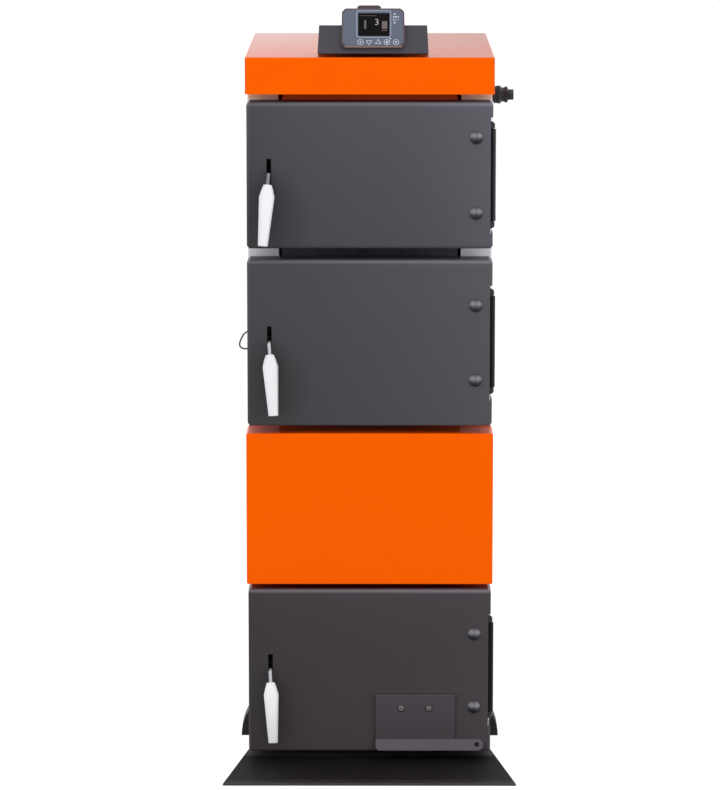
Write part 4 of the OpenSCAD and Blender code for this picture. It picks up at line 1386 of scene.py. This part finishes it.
@dataclass
class HandleGrips:
    """Bevelled white grips on the lifting handles."""

    length: float = 124.0
    shoulder: float = 25.0
    waist: float = 10.5
    top: Pair = (16.0, 13.0)
    middle: Pair = (23.0, 18.0)
    widest: Pair = (30.0, 21.0)
    end: Pair = (19.0, 15.0)
    bevel: float = 4.2
    mouth: float = 3.2
    rod_drop: float = 20.5
    pivot: Pair = (-203.5, -369.0)
    reach: float = 44.0
    tilt: float = 8.0

    def pattern(self) -> Piece:
        """Model one grip.

        Returns:
            The grip, its top at the origin and its length along Z.
        """
        wide, thick = self.widest
        grip = Bench.block("grip", (-wide / 2, -thick / 2, 0), (wide / 2, thick / 2, self.length))
        Bench.cut(self.shoulder)
        Bench.cut(self.waist)
        for level, (w, t) in ((0.0, self.top), (self.waist, self.middle), (self.length, self.end)):
            Bench.pick_points(grip, lambda p, level=level: abs(p.z - level) < NEAR)
            bpy.ops.transform.resize(value=(w / wide, t / thick, 1))
        Bench.pick_upright(grip)
        Bench.bevel(self.bevel, 1)
        Bench.pick_faces(grip, lambda middle, normal: normal.z < -LEVEL)
        Bench.inset(self.mouth)
        bpy.ops.transform.translate(value=(0, 0, -0.2 * MM))
        Bench.put_down()
        Bench.soften(grip, 0.9, 3, 12.0)
        return grip

    def build(self) -> None:
        """Model the grip once and hang a copy on each handle."""
        pattern = self.pattern()
        for door in Door:
            place = (
                shift(*self.pivot, door.middle)
                @ spin(-door.lift, "X")
                @ shift(0, -self.reach, 0)
                @ spin(-self.tilt, "X")
                @ spin(180 - door.lean, "Y")
                @ shift(0, 0, self.rod_drop)
                @ spin(door.turn, "Z")
            )
            Bench.done(
                Bench.copied(pattern, f"{door.label}_grip_moulding", place),
                Palette.GRIP_LOW if door is Door.ASH else Palette.GRIP,
                "white_grip",
                body=f"{door.label}_handle",
                stands_for=[f"{door.label}_handle_grip"],
                smooth=28.0,
            )
        Bench.drop(pattern)


@dataclass
class Controller:
    """The controller on its sloping bracket: case, printed frame, keys and what the display shows.

    A mark is its place across, its place up from the case's lower edge, its sides, its radius and its turn.
    A bar is its name, where it starts and ends across, and where it starts and ends up.
    """

    origin: Point = (6.5, -390.0, 1454.0)
    slope: float = 60.0
    width: float = 128.0
    length: float = 84.5
    thick: float = 11.0
    up: float = 10.4
    corner: float = 8.1
    taper: float = 1.5
    step: float = 3.96
    rim: float = 2.0
    seat: float = 0.3
    fascia: float = 1.2
    frame: tuple[float, float, float, float] = (-33.7, 36.4, 18.8, 79.8)
    frame_line: float = 2.1
    print_height: float = 0.3
    keys: tuple[float, ...] = (-25.5, -8.0, 10.2, 27.9, 45.9)
    key_up: float = 19.5
    key_line: float = 1.0
    outlines: tuple[tuple[int, float, float], ...] = (
        (24, 6.3, 0), (3, 7.4, 180), (3, 7.4, 0), (8, 6.6, 22.5), (8, 6.4, 22.5),
    )
    bars: tuple[tuple[str, float, float, float, float], ...] = (
        ("gauge_bar", -18.0, -13.7, 39.3, 58.0),
        ("top_line", -26.7, 6.8, 67.7, 68.7),
        ("sign_square", 17.7, 28.5, 38.9, 56.0),
        ("sign_line", 17.7, 28.5, 35.0, 36.4),
    )
    marks: tuple[tuple[float, float, int, float, float], ...] = (
        (-25.5, 9.1, 12, 2.0, 0), (27.9, 9.1, 4, 3.2, 45), (45.9, 9.1, 4, 2.4, 0), (34.4, 16.9, 12, 1.6, 0),
        (43.5, 71.6, 3, 2.8, 0), (41.5, 65.3, 4, 2.2, 45), (46.0, 65.3, 4, 2.2, 45), (50.4, 65.3, 4, 1.9, 45),
        (41.5, 59.0, 4, 1.9, 45), (46.0, 59.0, 4, 1.5, 0), (50.6, 59.0, 4, 1.2, 45), (43.5, 52.6, 4, 2.3, 45),
    )

    def _set(
        self,
        piece: Piece,
        finish: Palette,
        slot: str = "controller_face",
        stands_for: Sequence[str] = (),
    ) -> None:
        """Move a piece from the slope's frame to its place, and dress it.

        Args:
            piece: The piece.
            finish: Its finish.
            slot: Its material slot.
            stands_for: The plain solids that it replaces.
        """
        Bench.put_down()
        piece.data.transform(shift(*self.origin) @ spin(self.slope, "X"))
        Bench.done(piece, finish, slot, stands_for=stands_for)

    def case(self) -> None:
        """Model the moulded case with its cut corners, stepped back and rim."""
        high = self.up + self.length
        half = self.width / 2
        case = Bench.block("controller_case", (-half, self.up, self.seat), (half, high, self.thick))
        Bench.pick_points(case, lambda p: p.y > high - NEAR)
        bpy.ops.transform.resize(value=((half - self.taper) / half, 1, 1))
        Bench.pick_upright(case)
        Bench.bevel(self.corner, 3, profile=0.32)
        Bench.cut(self.step)
        Bench.pick_points(case, lambda p: p.z < self.step - NEAR)
        bpy.ops.transform.resize(value=(0.965, 0.95, 1))
        Bench.pick_faces(case, lambda middle, normal: normal.z > LEVEL and middle.z > self.thick - 0.1)
        Bench.inset(self.rim)
        Bench.push(-self.fascia)
        Bench.put_down()
        Bench.soften(case, 0.7, 3, 25.0)
        self._set(case, Palette.SHELL, "controller_shell", ["controller_housing"])

    def frame_print(self) -> None:
        """Model the pale line printed round the display."""
        left, right, low, high = self.frame
        low, high = self.up + low, self.up + high
        top = self.thick + self.print_height
        line = Bench.block("display_outline", (left, low, self.thick), (right, high, top))
        for edge, width, steps in ((low, 6.0, 2), (high, 3.0, 3)):
            Bench.pick_upright(line, lambda middle, edge=edge: abs(middle.y - edge) < 0.1)
            Bench.bevel(width, steps)
        Bench.pick_faces(line, lambda middle, normal: abs(normal.z) > LEVEL)
        Bench.inset(self.frame_line)
        bpy.ops.mesh.bridge_edge_loops()
        self._set(line, Palette.FRAME_PRINT)

    def _sign(
        self, x: float, y: float, sides: int, radius: float, turn: float, line: float = 0.0
    ) -> Piece:
        """Model one printed sign: a triangle, a bar or a dot, filled or in outline.

        Args:
            x: Its middle across the controller.
            y: Its middle up the slope.
            sides: How many sides it has.
            radius: The distance of its corners from its middle.
            turn: Its turn in degrees.
            line: The width of its outline, or 0 where it is filled.

        Returns:
            The sign, a little raised.
        """
        sign = Bench.disc("sign", sides, radius, (x, y, self.thick), turn)
        if sides == 3 or not line:
            Bench.bevel(1.2 if line else radius * 0.18, 2, "VERTICES")
        if line:
            bpy.ops.mesh.select_all(action="SELECT")
            Bench.inset(line)
            bpy.ops.mesh.delete(type="FACE")
        Bench.modify(sign, "SOLIDIFY", thickness=self.print_height * MM, offset=1.0)
        return sign

    def key_row(self) -> None:
        """Model the five keys with their signs, and the small marks beside the display."""
        line = self.key_line
        parts = [self._sign(x, self.key_up, *form, line) for x, form in zip(self.keys, self.outlines)]
        parts += [self._sign(x, self.up + y, *form) for x, y, *form in self.marks]
        self._set(Bench.join(parts, "controller_keys"), Palette.KEY_PRINT)

    def readings(self) -> None:
        """Model what the display shows: a number, a gauge, a line and a small sign."""
        Bench.put_down()
        bpy.ops.object.text_add()
        number = bpy.context.view_layer.objects.active
        number.name = "display_number"
        text = number.data
        text.body = "3"
        text.size = 20 * MM
        text.align_x = text.align_y = "CENTER"
        text.extrude = 0.15 * MM
        text.offset = -0.15 * MM
        bpy.ops.object.convert(target="MESH")
        level = self.thick - self.fascia / 2
        number.data.transform(shift(7.4, self.up + 53.5, level))
        self._set(number, Palette.DIGIT)
        bars = []
        for name, left, right, low, high in self.bars:
            low, high = self.up + low, self.up + high
            bars.append(Bench.block(name, (left, low, level - 0.2), (right, high, level + 0.15)))
            Bench.pick_upright(bars[-1])
            Bench.bevel(0.35, 2)
        gauge, line, *sign = bars
        self._set(gauge, Palette.GAUGE)
        self._set(line, Palette.TOP_LINE)
        self._set(Bench.join(sign, "display_sign"), Palette.SYMBOL)

    def build(self) -> None:
        """Model the whole controller."""
        self.case()
        self.frame_print()
        self.key_row()
        self.readings()


@dataclass
class Fasteners:
    """Pan-head screws: two on the air flap, and a row down each edge of the back panel.

    The head's profile is the share of its height, and of its radius, at each ring.
    """

    flap_face: float = -399.8
    back_face: float = 291.5
    back_xs: tuple[float, ...] = (-232.0, 232.0)
    back_zs: tuple[float, ...] = (60.0, 400.0, 740.0, 1080.0, 1355.0)
    profile: tuple[Pair, ...] = ((0.0, 0.98), (0.35, 1.0), (0.72, 0.86), (0.94, 0.55), (1.0, 0.2))

    def head(self, name: str, radius: float, height: float) -> Piece:
        """Model one cross-recessed pan head on the origin, facing up the local Z axis.

        Args:
            name: The screw's name.
            radius: The head's radius.
            height: The head's height.

        Returns:
            The head.
        """
        crown = Bench.turned(name, [(height * up, radius * out) for up, out in self.profile], 32)
        long, short = radius * 0.62, radius * 0.13
        for x, y in ((long, short), (short, long)):
            arm = Bench.block("arm", (-x, -y, height * 0.35), (x, y, height * 1.5))
            Bench.pick_points(arm, lambda p: p.z < height)
            bpy.ops.transform.resize(value=(0.55, 0.55, 1))
            Bench.modify(crown, "BOOLEAN", operation="DIFFERENCE", object=arm, solver="EXACT")
            Bench.drop(arm)
        return crown

    def build(self) -> None:
        """Model both sizes of screw and copy them to their places."""
        big = self.head("flap_screw", 7.0, 3.6)
        for i, (x, z) in enumerate(FLAP_SCREWS):
            where = shift(x, self.flap_face, z) @ spin(90, "X") @ spin(20 + 37 * i, "Z")
            screw = Bench.copied(big, f"flap_screw_{i + 1}", where)
            Bench.done(screw, Palette.DARK_SCREW, "charcoal_powder", body="air_flap_body")
        Bench.drop(big)
        small = self.head("panel_screw", 4.2, 2.6)
        copies = []
        for i, x in enumerate(self.back_xs):
            for k, z in enumerate(self.back_zs):
                where = shift(x, self.back_face, z) @ spin(-90, "X") @ spin(29 * (3 * i + k), "Z")
                copies.append(Bench.copied(small, f"panel_screw_{i}_{k}", where))
        Bench.drop(small)
        Bench.done(Bench.join(copies, "back_panel_screws"), Palette.SCREW, "pale_sheet")


@dataclass
class Stub:
    """A threaded pipe end. Its thread is a three-sided ridge of 0.52 pitches' radius."""

    name: str
    place: Point
    outer: float
    length: float
    wall: float
    threaded: float
    pitch: float

    def build(self) -> Piece:
        """Model the pipe with its bore, then wind the thread on it.

        Returns:
            The stub, at its place.
        """
        r, bore, core = self.outer / 2, self.outer / 2 - self.wall, self.outer / 2 - 1.0
        length, start = self.length, self.length - self.threaded
        rings = (
            (0, r), (start - 2, r), (start, core), (length - 0.8, core), (length, core - 0.8),
            (length, bore + 0.6), (length - 0.6, bore), (self.wall, bore), (self.wall, bore * 0.2),
        )
        pipe = Bench.turned(self.name, rings, 64)
        Bench.put_down()
        out = self.pitch * 0.52
        bpy.ops.mesh.primitive_circle_add(vertices=3, radius=out * MM, fill_type="NOTHING")
        ridge = Bench.name("ridge")
        ridge.data.transform(shift(r - out, 0, start + 2) @ spin(90, "X") @ spin(-90, "Z"))
        turns = int((self.threaded - 4) / self.pitch)
        Bench.modify(
            ridge,
            "SCREW",
            axis="Z",
            angle=2 * math.pi * turns,
            screw_offset=self.pitch * turns * MM,
            steps=48 * turns,
            render_steps=48 * turns,
            use_merge_vertices=False,
        )
        Bench.take(ridge, edit=True)
        bpy.ops.mesh.select_all(action="SELECT")
        bpy.ops.mesh.fill_holes(sides=3)
        Bench.seal()
        stub = Bench.join([pipe, ridge], self.name)
        stub.data.transform(shift(*self.place) @ spin(-90, "X"))
        return stub


@dataclass
class Connections:
    """Pipe ends at the back, threaded for their fittings: wall, threaded length and pitch by size."""

    thin_below: float = 30.0
    thin: tuple[float, float, float] = (4.0, 20.0, 1.81)
    thick: tuple[float, float, float] = (4.5, 26.0, 2.31)

    def build(self) -> None:
        """Model the three stubs."""
        for label, node in (("flow", "water_stubs"), ("return", "water_stubs"), ("drain", "drain_stub")):
            low, high = (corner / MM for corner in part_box(node))
            outer = high.x - low.x
            z = high.z - outer / 2 if label == "flow" else low.z + outer / 2
            place = ((low.x + high.x) / 2, low.y, z)
            form = self.thick if outer > self.thin_below else self.thin
            stub = Stub(f"{label}_pipe_end", place, outer, high.y - low.y, *form)
            Bench.done(stub.build(), Palette.THREAD, "black_steel", stands_for=[node])


@dataclass
class Gland:
    """The ribbed cable gland on the right side. Ribs and gaps are two facets wide, of a ring of 96."""

    place: Point = (249.0, -198.0, 1355.0)
    start: float = 5.0
    body: float = 19.0
    length: float = 31.0
    end: float = 10.0
    sides: int = 96
    gap: float = 0.7

    def _is_gap(self, middle: Vector, normal: Vector) -> bool:
        """Return whether a face of the gland lies between two ribs."""
        facet = int(math.degrees(math.atan2(middle.y, middle.x)) % 360 / (360 / self.sides))
        return self.start + 6.5 < middle.z < self.start + 8.5 and abs(normal.z) < 0.2 and facet % 4 < 2

    def build(self) -> None:
        """Turn the gland's body, sink the gaps between its ribs, and add the hexagonal end with its bore."""
        r, s = self.body, self.start
        far = s + self.length
        rings = (
            (-8, 10), (0, 10), (0, 15), (s, 15), (s, r - 2), (s + 1, r - 1), (s + 4, r - 1), (s + 5, r - 2),
            (s + 6, r - 1), (s + 9, r - 1), (s + 12, r), (s + 13.5, r - 1), (s + 17, r - 4.5),
            (s + 20.5, r - 4.5), (s + 27, r - 1.5), (far, 11), (far, 4),
        )
        gland = Bench.turned("gland_body", rings, self.sides)
        Bench.pick_faces(gland, self._is_gap)
        bpy.ops.mesh.extrude_region_shrink_fatten(TRANSFORM_OT_shrink_fatten={"value": -self.gap * MM})
        Bench.put_down()
        end = Bench.drum("gland_end", 6, 12.0, far - 0.5, far + self.end)
        Bench.pick_faces(end, lambda middle, normal: normal.z > LEVEL)
        Bench.inset(3.5)
        Bench.push(-5)
        Bench.soften(end, 0.6, 2, 30.0)
        whole = Bench.join([gland, end], "gland_moulding")
        whole.data.transform(shift(*self.place) @ spin(90, "Y"))
        Bench.done(whole, Palette.NYLON, "black_plastic", stands_for=["cable_gland"])


# ---------------------------------------------------------------- finishes on the plain solids


def each(part: str) -> tuple[str, ...]:
    """Return the names of the solids that are one part on all three doors."""
    return tuple(f"{door.label}_{part}" for door in Door)


@dataclass
class Dressing:
    """Which finish each plain solid gets."""

    finishes: dict[Palette, tuple[str, ...]] = field(
        default_factory=lambda: {
            Palette.ORANGE: ("top_cover", "front_panel"),
            Palette.CASING: ("side_panel_left", "side_panel_right", "back_panel"),
            Palette.BLACK: ("base_frame", "foot_brackets", "latch_keepers"),
            Palette.APRON: ("floor_apron",),
            Palette.KNUCKLE: ("hinge_brackets",),
            Palette.BRACKET: ("controller_bracket",),
            Palette.JACKET: ("jacket_top", "jacket_bottom", "smoke_shelves"),
            Palette.OUTSIDE: ("jacket_left", "jacket_right", "jacket_back", "jacket_posts", "jacket_lintels"),
            Palette.COLLAR: ("opening_collars",),
            Palette.FLUE: ("flue_outlet",),
            Palette.IRON: ("grate",),
            Palette.THREAD: ("water_stubs", "drain_stub"),
            Palette.SHELL: ("controller_housing",),
            Palette.SOCKET: ("controller_box",),
            Palette.FASCIA: ("controller_fascia",),
            Palette.DISPLAY: ("controller_display",),
            Palette.NYLON: ("cable_gland", "lead_grommets"),
            Palette.SHEATH: ("sensor_lead",),
            Palette.UPPER: ("upper_door_cover",),
            Palette.LOADING: ("loading_door_cover",),
            Palette.ASH: ("ash_door_cover",),
            Palette.FLAP: ("air_flap",),
            Palette.HINGE: each("door_hinge"),
            Palette.PLATE: each("door_plate"),
            Palette.ROPE: each("door_seal"),
            Palette.ZINC: each("handle_lever"),
            Palette.GRIP: each("handle_grip"),
        }
    )

    def build(self, nodes: dict[str, Piece]) -> None:
        """Give every plain solid its finish.

        Args:
            nodes: The solids by name.
        """
        left = set(nodes)
        for finish, names in self.finishes.items():
            for name in names:
                materials = nodes[name].data.materials
                materials.clear()
                materials.append(finish.material())
                left.discard(name)
        if left:
            raise ValueError(f"no finish for {sorted(left)}")
        LOG.info("finishes laid on %d solids", len(nodes))


def main() -> None:
    """Build the studio, the pieces and the finishes."""
    logging.basicConfig(level=logging.INFO, format="%(name)s: %(message)s")
    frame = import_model()
    Studio().build()
    SensorLead().build()
    Dressing().build(frame["nodes"])
    HandleGrips().build()
    Controller().build()
    Gland().build()
    Fasteners().build()
    Connections().build()


if __name__ == "__main__":
    main()
